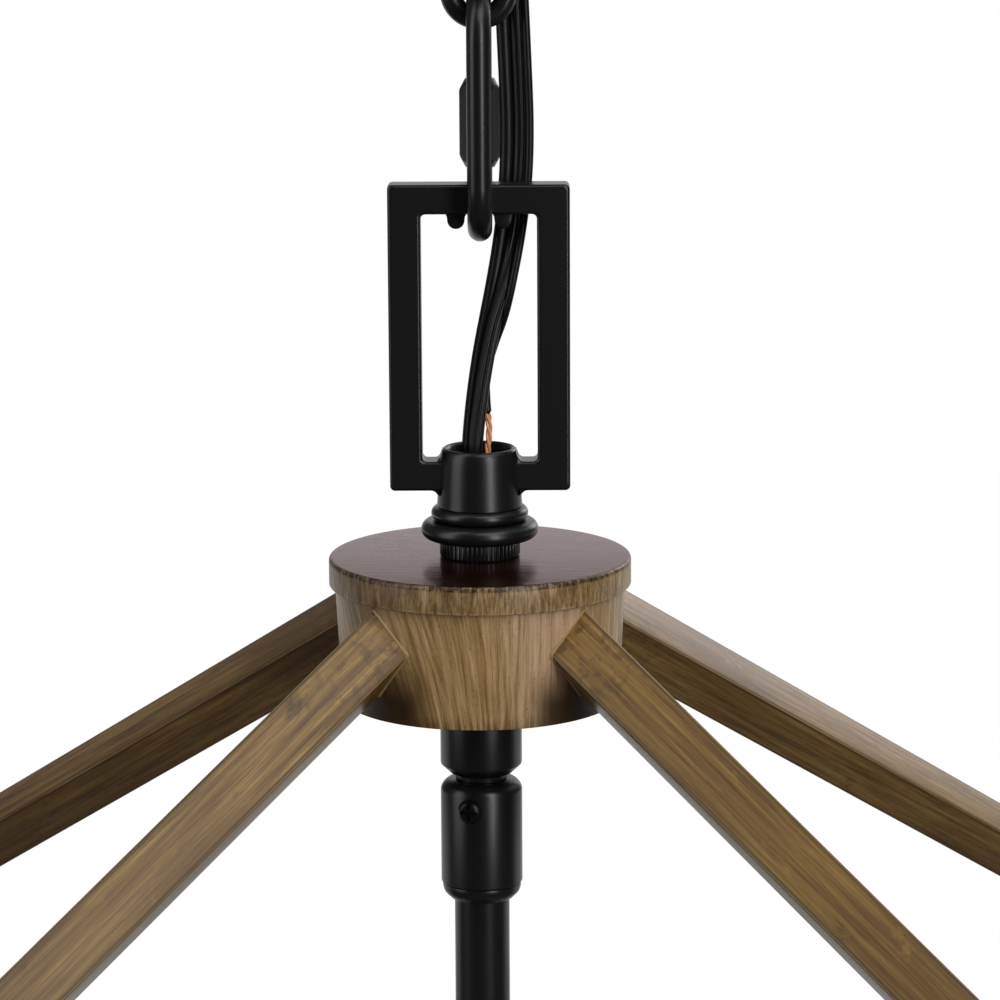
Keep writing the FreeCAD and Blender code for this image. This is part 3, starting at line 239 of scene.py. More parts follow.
far_floor = add_node(tree, "ShaderNodeMapRange", SMOOTH, {
    "Value": depth, "From Min": FAR_FLOOR_M[0], "From Max": FAR_FLOOR_M[1],
    "To Min": 0.0, "To Max": FAR_FLOOR_SHARE}).outputs["Result"]
in_coats = add_node(tree, "ShaderNodeMath", {"operation": "MULTIPLY"}, {
    0: path["Is Glossy Ray"], 1: far_floor}).outputs["Value"]
through = add_node(tree, "ShaderNodeMath", {"operation": "MAXIMUM"}, {
    0: path["Is Camera Ray"], 1: path["Is Transmission Ray"]}).outputs["Value"]
seen = add_node(tree, "ShaderNodeMath", {"operation": "MAXIMUM"}, {
    0: through, 1: in_coats}).outputs["Value"]
matt = add_node(tree, "ShaderNodeBsdfDiffuse", inputs={"Color": linear("747474")}).outputs["BSDF"]
glow = add_node(tree, "ShaderNodeEmission", inputs={
    "Color": (1.0, 1.0, 1.0, 1.0), "Strength": FLOOR_GLOW}).outputs["Emission"]
glowing = add_node(tree, "ShaderNodeAddShader", inputs={0: matt, 1: glow}).outputs["Shader"]
shown = add_node(tree, "ShaderNodeMixShader", inputs={
    "Fac": seen, 1: matt, 2: glowing}).outputs["Shader"]
add_node(tree, "ShaderNodeOutputMaterial", inputs={"Surface": shown})
floor_mesh.materials.append(floor_paint)

# Ceiling end
# A zinc-plated steel bar screws to the ceiling box and holds a threaded tube with two nuts. A
# green ground screw and three wire connectors sit by it, under a spun canopy that hides them.


def surface(name, points_mm, close_rows=False, close_columns=False, grain=None, smooth_deg=32):
    """A mesh from a grid of points in millimetres: each cell between two rows and two columns is
    a face. Seams and poles are merged. grain is the grid's own flat map, in millimetres, with
    one more row or column where the grid closes."""
    points = np.asarray(points_mm, float) * MM
    rows, columns = points.shape[:2]
    row_cells = rows if close_rows else rows - 1
    column_cells = columns if close_columns else columns - 1
    r, c = np.meshgrid(np.arange(row_cells), np.arange(column_cells), indexing="ij")
    r_next, c_next = (r + 1) % rows, (c + 1) % columns
    here, beside = r * columns + c, r * columns + c_next
    above, opposite = r_next * columns + c, r_next * columns + c_next
    quads = np.stack([here, beside, opposite, above], -1)
    mesh = bpy.data.meshes.new(name)
    mesh.from_pydata(points.reshape(-1, 3), [], quads.reshape(-1, 4).tolist())
    if grain is not None:
        across, along = grain
        loops = np.stack([
            np.stack([across[r, c], across[r, c + 1], across[r + 1, c + 1], across[r + 1, c]], -1),
            np.stack([along[r, c], along[r, c + 1], along[r + 1, c + 1], along[r + 1, c]], -1),
        ], -1)
        layer = mesh.uv_layers.new(name="Grain")
        layer.data.foreach_set("uv", loops.reshape(-1).astype(np.float32))
    work = bmesh.new()
    work.from_mesh(mesh)
    bmesh.ops.remove_doubles(work, verts=work.verts, dist=1e-7)
    bmesh.ops.dissolve_degenerate(work, edges=work.edges, dist=1e-8)
    bmesh.ops.recalc_face_normals(work, faces=work.faces)
    work.to_mesh(mesh)
    work.free()
    mesh.shade_smooth()
    mesh.set_sharp_from_angle(angle=math.radians(smooth_deg))
    piece = bpy.data.objects.new(name, mesh)
    scene.collection.objects.link(piece)
    return piece


def softened(corners, cut, steps=5):
    """An open line with each inner corner rounded: a quadratic curve that leaves the line one cut
    before the corner and joins it one cut after, or less on a short side."""
    corners = np.asarray(corners, float)
    before, corner, after = corners[:-2], corners[1:-1], corners[2:]
    into, out = before - corner, after - corner
    into_length = np.linalg.norm(into, axis=1, keepdims=True)
    out_length = np.linalg.norm(out, axis=1, keepdims=True)
    reach = np.minimum(cut, 0.45 * np.minimum(into_length, out_length))
    start = corner + into / into_length * reach
    end = corner + out / out_length * reach
    t = np.linspace(0, 1, steps)[None, :, None]
    bends = (1 - t) ** 2 * start[:, None] + 2 * t * (1 - t) * corner[:, None] + t ** 2 * end[:, None]
    return np.concatenate([corners[:1], bends.reshape(-1, corners.shape[1]), corners[-1:]])


def turned(name, profile, centre=(0.0, 0.0), columns=128, closed=False):
    """A lathe form: the point at angle a on a profile point (radius, height) is
    (radius cos a, radius sin a, height). Its map runs round the side and along the profile."""
    profile = np.asarray(profile, float)
    angle = np.linspace(0, 2 * math.pi, columns, endpoint=False)
    radius, height = profile[:, :1], profile[:, 1:]
    points = np.stack([
        centre[0] + radius * np.cos(angle), centre[1] + radius * np.sin(angle),
        np.broadcast_to(height, (len(profile), columns))], -1)
    loop = np.concatenate([profile, profile[:1]]) if closed else profile
    steps = np.linalg.norm(np.diff(loop, axis=0), axis=1)
    along = np.concatenate([[0.0], np.cumsum(steps)])
    full_turn = np.linspace(0, 2 * math.pi, columns + 1)
    across = np.broadcast_to(full_turn * profile[:, 0].max(), (len(along), columns + 1))
    along = np.broadcast_to(along[:, None], across.shape)
    return surface(name, points, close_rows=closed, close_columns=True, grain=(across, along))


def finish(name, settings):
    """A material with one Principled shader, whose inputs take plain values from the settings."""
    material = bpy.data.materials.new(name)
    material.use_nodes = True
    shader = material.node_tree.nodes["Principled BSDF"]
    for socket, value in settings.items():
        shader.inputs[socket].default_value = value
    return material


def dress(piece, material, body, slot, *nodes):
    """Gives a new piece its material and its body, and hides the CAD nodes it stands for. The slot is not
    used.
    """
    piece.data.materials.append(material)
    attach(piece, body)
    if nodes:
        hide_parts(*nodes)
    return piece


def repaint(node, material):
    """A CAD solid whose own shape is right gets a better material."""
    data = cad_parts[node].data
    data.materials.clear()
    data.materials.append(material)


# Powder-coated steel: a satin black polyester coat with a very fine orange-peel surface, which
# breaks the lamps' reflections into broad soft lines. The peel is about 0.5 mm across.
PEEL_MM = 0.5
black_coat = finish("satin_black_powder_coat", {
    "Base Color": linear("131313"), "Roughness": 0.31, "Specular IOR Level": 0.42})
tree = black_coat.node_tree
spot = add_node(tree, "ShaderNodeTexCoord").outputs["Object"]
peel = add_node(tree, "ShaderNodeTexNoise", inputs={
    "Vector": spot, "Scale": 1 / (PEEL_MM * MM), "Detail": 2.0}).outputs["Fac"]
relief = add_node(tree, "ShaderNodeBump", inputs={
    "Height": peel, "Strength": 0.08, "Distance": 0.0001}).outputs["Normal"]
tree.links.new(relief, tree.nodes["Principled BSDF"].inputs["Normal"])

# Zinc plate shines grey and a little blurred. The screw's green passivation lets its metal shine
# through, and the connectors are moulded plastic with a dull sheen.
zinc = finish("zinc_plated_steel", {
    "Base Color": linear("b4b4ae"), "Metallic": 1.0, "Roughness": 0.38})
green_steel = finish("green_passivated_steel", {
    "Base Color": linear("2f7a3c"), "Metallic": 0.6, "Roughness": 0.4})
orange_plastic = finish("moulded_orange_polypropylene", {
    "Base Color": linear("c96a1e"), "Roughness": 0.5})
for node in ("mounting_bar", "canopy_nipple", "bar_lock_nuts", "upper_nipple", "lower_nipple",
             "hub_lock_nuts", "hub_crossbar"):
    repaint(node, zinc)
repaint("ground_screw", green_steel)
for node in ("ceiling_wire_connectors", "hub_wire_connectors"):
    repaint(node, orange_plastic)

CANOPY_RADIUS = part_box("canopy")[1][0] / MM
CANOPY_DEPTH = -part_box("canopy")[0][2] / MM
CANOPY_GAUGE = 1.2
CANOPY_LIP = 5.0
CANOPY_FLAT = 44.0
CANOPY_HOLE = 13.1
quarter = np.linspace(0, math.pi / 2, 20)
dome_radius = CANOPY_RADIUS - CANOPY_FLAT
dome = np.stack([CANOPY_FLAT + dome_radius * np.cos(quarter),
                 -CANOPY_LIP - (CANOPY_DEPTH - CANOPY_LIP) * np.sin(quarter)], 1)
inner_dome = np.stack([CANOPY_FLAT + (dome_radius - CANOPY_GAUGE) * np.cos(quarter),
                       -CANOPY_LIP - (CANOPY_DEPTH - CANOPY_LIP - CANOPY_GAUGE) * np.sin(quarter)], 1)
canopy_profile = np.concatenate([
    [(CANOPY_RADIUS, 0.0)], dome,
    [(CANOPY_HOLE, -CANOPY_DEPTH), (CANOPY_HOLE, -CANOPY_DEPTH + CANOPY_GAUGE)],
    inner_dome[::-1], [(CANOPY_RADIUS - CANOPY_GAUGE, 0.0)]])
canopy = turned("canopy_dish", canopy_profile, closed=True)
dress(canopy, black_coat, "canopy", "black_coat", "canopy")

# The collar ring is a turned steel nut with a rounded lower edge.
low, high = (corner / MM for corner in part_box("collar_ring"))
COLLAR_BORE = 12.55
COLLAR_CUT = 1.6
collar_edge = high.x
collar_profile = softened([
    (COLLAR_BORE, high.z), (collar_edge - 0.6, high.z), (collar_edge, high.z - 0.6),
    (collar_edge, (low.z + high.z) / 2), (collar_edge - 1.2, (low.z + high.z) / 2 - 0.7),
    (collar_edge - 2.4, low.z), (COLLAR_BORE, low.z), (COLLAR_BORE, high.z)], COLLAR_CUT)
dress(turned("canopy_collar", collar_profile), black_coat, "collar", "black_coat", "collar_ring")

# The canopy loop is cast: its barrel stays as the CAD solid, whose bore and cord hole are right.
repaint("canopy_loop", black_coat)

# Chain
# Round steel wire bent to long rings and butt welded; the lowest link faces the camera. The
# quick link below it is heavier, with a gap in its rear leg that a threaded sleeve nut closes.
LINK_STEPS = 28


def carried(name, path, section, side, close_path=False, close_section=True, grain_start=0.0):
    """A section carried along a path. At each path point the section's first coordinate goes
    along the side vector, made square to the path, and its second along path cross side."""
    path = np.asarray(path, float)
    if close_path:
        tangent = np.roll(path, -1, 0) - np.roll(path, 1, 0)
    else:
        tangent = np.gradient(path, axis=0)
    tangent /= np.linalg.norm(tangent, axis=1, keepdims=True)
    side = np.broadcast_to(np.asarray(side, float), path.shape)
    side = side - (side * tangent).sum(1, keepdims=True) * tangent
    side /= np.linalg.norm(side, axis=1, keepdims=True)
    over = np.cross(tangent, side)
    section = np.asarray(section, float)
    if section.ndim == 2:
        section = np.broadcast_to(section, (len(path), *section.shape))
    points = path[:, None] + section[..., :1] * side[:, None] + section[..., 1:] * over[:, None]
    if not close_path:
        ends = np.broadcast_to(path[[0, -1], None], (2, *points.shape[1:]))
        points = np.concatenate([ends[:1], points, ends[1:]])
    rows, columns = points.shape[:2]
    closed_points = np.concatenate([points, points[:, :1]], 1)
    across = np.concatenate([np.zeros((rows, 1)), np.cumsum(
        np.linalg.norm(np.diff(closed_points, axis=1), axis=2), axis=1)], 1)
    middle = np.concatenate([points.mean(1), points.mean(1)[:1]]) if close_path else points.mean(1)
    along = np.concatenate([[0.0], np.cumsum(np.linalg.norm(np.diff(middle, axis=0), axis=1))])
    if close_path:
        across = np.concatenate([across, across[:1]])
    along = np.broadcast_to(along[:, None] + grain_start, across.shape)
    return surface(name, points, close_rows=close_path, close_columns=close_section,
                   grain=(across, along))


def disc_section(radius, count=24):
    """Points round a circle, the section of a wire or a tube."""
    turn = np.linspace(0, 2 * math.pi, count, endpoint=False)
    return radius * np.stack([np.cos(turn), np.sin(turn)], 1)


def ring_path(centre, half_width, top, bottom, across, leave=None, steps=LINK_STEPS):
    """The centre line of a ring with straight legs, in the plane of the across vector and the
    vertical: two half circles and two legs. It starts and ends on the right leg, and leave is
    the open stretch there as (from, to) heights, or nothing for a closed ring."""
    turn = np.linspace(0, math.pi, steps)
    upper = np.stack([half_width * np.cos(turn), top - half_width + half_width * np.sin(turn)], 1)
    lower = np.stack([-half_width * np.cos(turn), bottom + half_width - half_width * np.sin(turn)], 1)
    ring = np.concatenate([upper, lower])
    if leave:
        ring = np.concatenate([[(half_width, leave[1])], ring, [(half_width, leave[0])]])
    return (*centre, 0.0) + ring[:, :1] * np.asarray(across, float) + ring[:, 1:] * np.array([0.0, 0.0, 1.0])


for k in (1, 2, 3):
    low, high = (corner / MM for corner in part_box(f"chain_link_{k}"))
    wide = high.x - low.x > high.y - low.y
    across = (1.0, 0.0, 0.0) if wide else (0.0, 1.0, 0.0)
    facing = (0.0, 1.0, 0.0) if wide else (1.0, 0.0, 0.0)
    wire = min(high.x - low.x, high.y - low.y) / 2
    half = max(high.x - low.x, high.y - low.y) / 2 - wire
    middle = ((low.x + high.x) / 2, (low.y + high.y) / 2)
    link = carried(f"chain_ring_{k}", ring_path(middle, half, high.z - wire, low.z + wire, across),
                   disc_section(wire), facing, close_path=True)
    dress(link, black_coat, f"link_{k}", "black_coat", f"chain_link_{k}")

low, high = (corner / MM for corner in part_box("quick_link"))
nut_low, nut_high = (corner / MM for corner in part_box("quick_link_nut"))
wire = (high.x - low.x) / 2
half = (high.y - low.y) / 2 - wire
middle = ((low.x + high.x) / 2, (low.y + high.y) / 2)
GAP_IN_NUT = 1.2
GAP_LENGTH = 7.6
gap = (nut_low.z + GAP_IN_NUT, nut_low.z + GAP_IN_NUT + GAP_LENGTH)
quick = carried("quick_ring", ring_path(middle, half, high.z - wire, low.z + wire, (0, 1, 0), leave=gap),
                disc_section(wire, 32), (1, 0, 0))
dress(quick, black_coat, "quick_link", "black_coat", "quick_link")

# The sleeve nut: a hexagon bar, turned to a long cone at both ends and threaded through. The
# cone cuts the hexagon, so its edge is scalloped: highest in the middle of each flat.
NUT_FLATS = (nut_high.y - nut_low.y) / 2
NUT_END = 3.4
NUT_CONE = math.tan(math.radians(62))
NUT_BORE = 2.8
NUT_BLEND = 0.12
angle = np.linspace(0, 2 * math.pi, 192, endpoint=False)
hexagon = NUT_FLATS / np.cos((angle % (math.pi / 3)) - math.pi / 6)
cone = NUT_END + np.array([0.0, 0.35, 0.7, 1.05, 1.4])
level = np.concatenate([[0.0, 0.0], (cone - NUT_END) * NUT_CONE + NUT_BLEND])
limit = np.concatenate([[NUT_BORE, NUT_END - NUT_BLEND], cone])
heights = np.concatenate([nut_low.z + level, nut_high.z - level[::-1]])
limits = np.concatenate([limit, limit[::-1]])[:, None]
radius = np.minimum(limits, np.where(limits < NUT_END, limits, hexagon[None]))
nut_centre = (nut_low + nut_high) / 2
points = np.stack([nut_centre.x + radius * np.cos(angle), nut_centre.y + radius * np.sin(angle),
                   np.broadcast_to(heights[:, None], radius.shape)], -1)
nut = surface("quick_link_sleeve", points, close_rows=True, close_columns=True, smooth_deg=20)
dress(nut, black_coat, "quick_nut", "black_coat", "quick_link_nut")

# Cord
# Flat twin cord: two stranded cores in one black PVC jacket, smooth on one lobe and finely
# ribbed on the other, with a sleeved ground wire beside it whose bare copper end goes down
# into the socket. Both hang slack beside the chain, in one stretch for each joint.
CORD_ROUTE = [
    (5.3, 4.9, 228.0), (5.3, 5.1, 210.0), (5.9, 5.6, 186.0), (6.1, 6.0, 160.0), (6.7, 5.9, 134.0),
    (7.7, 6.3, 113.0), (8.3, 6.9, 97.0), (7.8, 7.1, 84.0), (6.6, 6.4, 72.5), (4.5, 4.9, 61.5),
    (2.0, 3.4, 51.0), (0.2, 2.3, 41.0), (-1.0, 1.4, 32.0), (-1.7, 0.8, 24.5), (-2.0, 0.5, 17.5),
]
GROUND_ROUTE = [
    (8.7, 3.3, 228.0), (9.0, 3.4, 210.0), (9.7, 3.8, 186.0), (9.8, 4.0, 160.0), (10.4, 3.8, 134.0),
    (11.3, 4.1, 113.0), (11.9, 4.7, 97.0), (11.4, 4.4, 84.0), (9.8, 3.3, 72.5), (7.6, 2.2, 61.5),
    (6.0, 3.0, 54.5), (3.6, 5.4, 48.0), (1.5, 5.0, 41.0), (1.7, 3.2, 34.0), (2.4, 1.8, 29.0),
    (1.9, 0.8, 24.0), (1.4, -0.1, 17.5),
]
CORD_WIDTH = 6.2
LOBE_RADIUS = 1.62
LOBE_SPREAD = CORD_WIDTH / 2 - LOBE_RADIUS
WEB_HALF = 0.55
RIB_HEIGHT = 0.06
RIBS_PER_TURN = 24
GROUND_RADIUS = 0.9
BARE_FROM = 32.2
CORE_SHARE = 0.45
STRANDS = 3
STRAND_RADIUS = 0.37
STRAND_REACH = 0.4
STRAND_LAY_MM = 8.0


def route_line(name, route):
    """The smooth line of a cord: points read from a NURBS spline whose control points are the
    route's, with heights above the lid's top."""
    curve = bpy.data.curves.new(name, "CURVE")
    curve.dimensions = "3D"
    curve.resolution_u = 24
    spline = curve.splines.new("NURBS")
    spline.points.add(len(route) - 1)
    for point, (x, y, height) in zip(spline.points, route):
        point.co = (x * MM, y * MM, (height + LID_TOP_MM) * MM, 1.0)
    spline.order_u = 3
    spline.use_endpoint_u = True
    holder = bpy.data.objects.new(name, curve)
    line = bpy.data.meshes.new_from_object(holder)
    points = np.array([vertex.co for vertex in line.vertices]) / MM
    bpy.data.objects.remove(holder)
    bpy.data.curves.remove(curve)
    bpy.data.meshes.remove(line)
    return points


def evenly(points, count):
    """The same line with its points at equal distances, and those distances."""
    run = np.concatenate([[0.0], np.cumsum(np.linalg.norm(np.diff(points, axis=0), axis=1))])
    along = np.linspace(0, run[-1], count)
    return np.stack([np.interp(along, run, points[:, axis]) for axis in range(3)], 1), along


turn = np.linspace(0, 2 * math.pi, 204, endpoint=False)
root = np.clip(LOBE_RADIUS ** 2 - (LOBE_SPREAD * np.sin(turn)) ** 2, 0, None)
lobes = LOBE_SPREAD * np.abs(np.cos(turn)) + np.sqrt(root)
web = np.minimum(WEB_HALF / np.maximum(np.abs(np.sin(turn)), 0.01), LOBE_SPREAD + WEB_HALF / 2)
outline = np.maximum(lobes, web)
ribs = RIB_HEIGHT * np.clip((np.cos(turn) - 0.5) * 4, 0, 1) * np.cos(RIBS_PER_TURN * turn)
twin_section = np.stack([(outline + ribs) * np.cos(turn), (outline + ribs) * np.sin(turn)], 1)

# The jacket is extruded PVC, near black with a low soft sheen, and the bare strands are bright
# pinkish copper.
cord_pvc = finish("black_pvc_jacket", {
    "Base Color": linear("0b0b0b"), "Roughness": 0.38, "Specular IOR Level": 0.3})
copper = finish("bare_copper_strand", {
    "Base Color": linear("ffb07c"), "Metallic": 0.3, "Roughness": 0.3})

# The cord turns on itself as it comes down: the ribbed lobe comes to the front near the socket.
TWIST_PLACES = (0.0, 0.62, 0.73, 0.78, 0.83, 0.93, 1.0)
TWIST_DEG = (0.0, 0.0, 12.0, 30.0, 48.0, 56.0, 62.0)
LINE_POINTS = 301

# The joints lie 200, 174, 148, 122 and 75 mm above the lid's top. A stretch has to be at least six widths
# long, so the line is cut into stretches that long from the top. Each stretch is listed with two heights near
# its joint, but nothing bends it there.
SHORTEST_STRETCH = 6.05 * CORD_WIDTH
BENDS = ((210.0, 190.5), (187.0, 161.0), (152.0, 138.0), (114.5, 103.0), (77.0, 60.0))
for label, route, node, slot_name in (("twin_cord", CORD_ROUTE, "power_cord", "cord_jacket"),
                                      ("ground_lead", GROUND_ROUTE, "ground_wire", "ground_jacket")):
    line, along = evenly(route_line(label, route), LINE_POINTS)
    twist = np.radians(np.interp(along / along[-1], TWIST_PLACES, TWIST_DEG))
    side = np.stack([np.cos(twist), -np.sin(twist), np.zeros_like(twist)], 1)
    cuts = np.searchsorted(along, SHORTEST_STRETCH * np.arange(1, len(BENDS)))
    breaks = [0, *cuts.tolist(), LINE_POINTS - 1]
    for k, (bend_top, bend_foot) in enumerate(BENDS):
        first = breaks[k]
        part = slice(first, breaks[k + 1] + 1)
        points, flat_side = line[part], side[part]
        helpers = []
        if label == "twin_cord":
            piece = carried(f"{label}_{k + 1}", points, twin_section, flat_side,
                            grain_start=along[first])
        else:
            bare = points[:, 2] < BARE_FROM + LID_TOP_MM
            radius = np.where(bare, GROUND_RADIUS * CORE_SHARE, GROUND_RADIUS)
            sleeve = disc_section(1.0)[None] * radius[:, None, None]
            piece = carried(f"{label}_{k + 1}", points, sleeve, flat_side)
            if bare.any():
                lays = (along[part][bare] - along[first]) / STRAND_LAY_MM
                for strand in range(STRANDS):
                    phase = 2 * math.pi * (strand / STRANDS + lays)
                    offset = STRAND_REACH * np.stack([np.cos(phase), np.sin(phase), 0 * phase], 1)
                    twine = carried(f"copper_strand_{strand + 1}", points[bare] + offset,
                                    disc_section(STRAND_RADIUS, 10), (1, 0, 0))
                    twine.data.materials.append(copper)
                    helpers.append(twine)
        piece.data.materials.append(cord_pvc)
        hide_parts(node)
        start = (0.0, 0.0, (LID_TOP_MM + bend_top) * MM)
        for thing in [piece, *helpers]:
            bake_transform(thing)

# Hanger loop
# One black-coated casting: a rectangular frame of nearly square bar with two nubs that keep the
# quick link in the middle, over a tapered socket with a bead and a rounded flange.
low, high = (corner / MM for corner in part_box("hanger_loop"))
HANGER_SHIFT = 0.2
HANGER_HALF = 20.45
HANGER_BAR = 7.4
HANGER_RAIL = 6.7
HANGER_DEPTH = 7.5
HANGER_EDGE = 0.8
HANGER_CORNER = 1.1
HANGER_RISE = 11.4
SOCKET_HEIGHT = 21.0
SOCKET_BORE = 4.95
SOCKET_CUP = 11.4
hanger_foot = low.z + HANGER_RISE


def rounded_rectangle(half_width, bottom, top, radius, steps=7):
    """Points round an upright rectangle whose corners are quarter circles."""
    turn = np.linspace(0, math.pi / 2, steps)
    arc = np.stack([np.cos(turn), np.sin(turn)], 1) * radius
    quarter_turns = [np.array([[1, 0], [0, 1]]), np.array([[0, 1], [-1, 0]]),
                     np.array([[-1, 0], [0, -1]]), np.array([[0, -1], [1, 0]])]
    middles = [(half_width - radius, top - radius), (-half_width + radius, top - radius),
               (-half_width + radius, bottom + radius), (half_width - radius, bottom + radius)]
    return np.concatenate([arc @ turned_by + middle
                           for turned_by, middle in zip(quarter_turns, middles)])


rail_top = hanger_foot + HANGER_RAIL
outer = rounded_rectangle(HANGER_HALF, hanger_foot, high.z, HANGER_CORNER)
inner = rounded_rectangle(HANGER_HALF - HANGER_BAR, rail_top, high.z - HANGER_RAIL, HANGER_CORNER)


def rounded_bar(edge_share, edge, half_depth, steps=6):
    """The frame bar's section as (share of the way from the inner to the outer edge, depth)."""
    turn = np.linspace(0, math.pi / 2, steps)
    corner = np.stack([1 - edge_share + edge_share * np.sin(turn),
                       half_depth - edge + edge * np.cos(turn)], 1)
    back = np.concatenate([corner, (corner * (1, -1))[::-1]])
    return np.concatenate([back, (back * (-1, 1) + (1, 0))[::-1]])


bar = rounded_bar(HANGER_EDGE / HANGER_BAR, HANGER_EDGE, HANGER_DEPTH / 2)
ring = inner[None] + (outer - inner)[None] * bar[:, None, :1]
points = np.stack([HANGER_SHIFT + ring[..., 0], np.broadcast_to(bar[:, 1:], ring.shape[:2]),
                   ring[..., 1]], -1)
hanger = surface("hanger_frame", points, close_rows=True, close_columns=True)
hanger.modifiers.new("even_shading", "WEIGHTED_NORMAL").keep_sharp = True
dress(hanger, black_coat, "lantern", "black_coat", "hanger_loop")

socket_base = low.z
FLANGE_RADIUS, FLANGE_HEIGHT = 13.35, 4.2
BEAD_RADIUS, BEAD_HEIGHT = 11.05, 3.2
half_turn = np.linspace(-math.pi / 2, math.pi / 2, 17)
flange = np.stack([FLANGE_RADIUS - FLANGE_HEIGHT / 2 + FLANGE_HEIGHT / 2 * np.cos(half_turn),
                   socket_base + FLANGE_HEIGHT / 2 + FLANGE_HEIGHT / 2 * np.sin(half_turn)], 1)
bead = np.stack([BEAD_RADIUS - BEAD_HEIGHT / 2 + BEAD_HEIGHT / 2 * np.cos(half_turn),
                 socket_base + FLANGE_HEIGHT + BEAD_HEIGHT / 2 + BEAD_HEIGHT / 2 * np.sin(half_turn)], 1)
socket_top = socket_base + SOCKET_HEIGHT
wall = softened([
    (9.7, socket_base + 7.6), (9.0, socket_top - 2.2), (8.6, socket_top - 0.7), (7.9, socket_top),
    (7.2, socket_top - 0.4), (6.7, socket_top - 1.8), (6.5, socket_top - SOCKET_CUP)], 0.8)
socket_profile = np.concatenate([
    [(SOCKET_BORE, socket_base)], flange, bead, wall, [(SOCKET_BORE, socket_top - SOCKET_CUP)]])
socket = turned("hanger_socket", socket_profile)
dress(socket, black_coat, "lantern", "black_coat", "hanger_loop")

# Where the bottom rail meets the socket the casting is filleted, above and below.
FILLET_START, FILLET_OUT, FILLET_LOWER_OUT = 8.3, 1.7, 1.0
FILLET_UP, FILLET_DOWN, FILLET_FALL = 2.4, 1.3, 2.4
CAST_DEPTHS = np.array([-1.0, -0.96, -0.85, 0.85, 0.96, 1.0])
CAST_DROPS = np.array([0.9, 0.35, 0.0, 0.0, 0.35, 0.9])
outwards = np.linspace(0, 1, 12)
for sign, label in ((-1, "left"), (1, "right")):
    for base, rise, place_label in ((rail_top, FILLET_UP, "upper"), (hanger_foot, -FILLET_DOWN, "lower")):
        start = FILLET_START + FILLET_LOWER_OUT * (rise < 0)
        crest = base + rise * (1 - outwards) ** FILLET_FALL
        depth = CAST_DEPTHS * (HANGER_DEPTH / 2 - 0.1)
        drop = np.sign(rise) * CAST_DROPS
        top = np.stack(np.broadcast_arrays(
            sign * (start + FILLET_OUT * outwards)[None], depth[:, None],
            crest[None] - drop[:, None]), -1)
        under = top * (1, 1, 0) + (0, 0, base - np.sign(rise) * 1.5)
        points = np.concatenate([under[:1], top, under[-1:]])
        fillet = surface(f"hanger_fillet_{place_label}_{label}", points)
        dress(fillet, black_coat, "lantern", "black_coat")

# The two nubs under the top bar are cast with it, with rounded tips and softened edges.
NUB_SHIFT = 0.4
NUB_OFFSET, NUB_HALF, NUB_DROP, NUB_DEPTH = 5.3, 1.95, 3.4, 5.0
NUB_SHRINK = np.array([0.72, 0.9, 1.0, 1.0, 0.9, 0.72])
under_bar = high.z - HANGER_RAIL
for sign, label in ((-1, "left"), (1, "right")):
    bend = np.linspace(0, math.pi, 15)
    tip = np.stack([NUB_HALF * np.cos(bend), -NUB_DROP + NUB_HALF - NUB_HALF * np.sin(bend)], 1)
    root = np.array([(NUB_HALF + 0.9, 0.6), (NUB_HALF + 0.5, 0.1), (NUB_HALF + 0.1, -0.6)])
    shape = np.concatenate([root, tip, (root * (-1, 1))[::-1]])
    depths = CAST_DEPTHS * NUB_DEPTH / 2
    shape_rows = shape[None] * NUB_SHRINK[:, None, None]
    points = np.stack([
        NUB_SHIFT + sign * NUB_OFFSET + shape_rows[..., 0],
        np.broadcast_to(depths[:, None], shape_rows.shape[:2]), under_bar + shape_rows[..., 1]], -1)
    caps = points[[0, -1]].mean(1, keepdims=True)
    caps = np.broadcast_to(caps, (2, points.shape[1], 3))
    points = np.concatenate([caps[:1], points, caps[1:]])
    nub = surface(f"hanger_nub_{label}", points, close_columns=True)
    dress(nub, black_coat, "lantern", "black_coat", "hanger_loop")

# Moulded nylon: the bushing that keeps the cord off the socket's edge has a dull black sheen.
black_plastic = finish("moulded_black_nylon", {"Base Color": linear("101010"), "Roughness": 0.5})
repaint("cord_bushing", black_plastic)

# Ribbed collar
# A turned steel ring nut between the hanger and the lid, black-coated like the hanger, with fine
# upright ribs rolled round it for grip.
low, high = (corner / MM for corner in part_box("ribbed_collar"))
THREAD_HOLE = 4.9
RIBS = 54
RIB_DEPTH = 0.35
COLUMNS_PER_RIB = 8
angle = np.linspace(0, 2 * math.pi, RIBS * COLUMNS_PER_RIB, endpoint=False)
wave = np.clip(0.5 - 0.9 * np.cos(RIBS * angle), 0, 1)
profile = np.array([
    (THREAD_HOLE, 0.0, 0.0), (high.x - 0.5, 0.0, 0.0), (high.x, 0.4, 1.0), (high.x, 3.7, 1.0),
    (high.x - 0.5, 4.1, 0.0), (THREAD_HOLE, 4.1, 0.0)])
radius = profile[:, :1] - RIB_DEPTH * profile[:, 2:] * (1 - wave[None])
points = np.stack([radius * np.cos(angle), radius * np.sin(angle),
                   np.broadcast_to(low.z + profile[:, 1:2], radius.shape)], -1)
ribbed = surface("ribbed_ring", points, close_rows=True, close_columns=True)
dress(ribbed, black_coat, "lantern", "black_coat", "ribbed_collar")

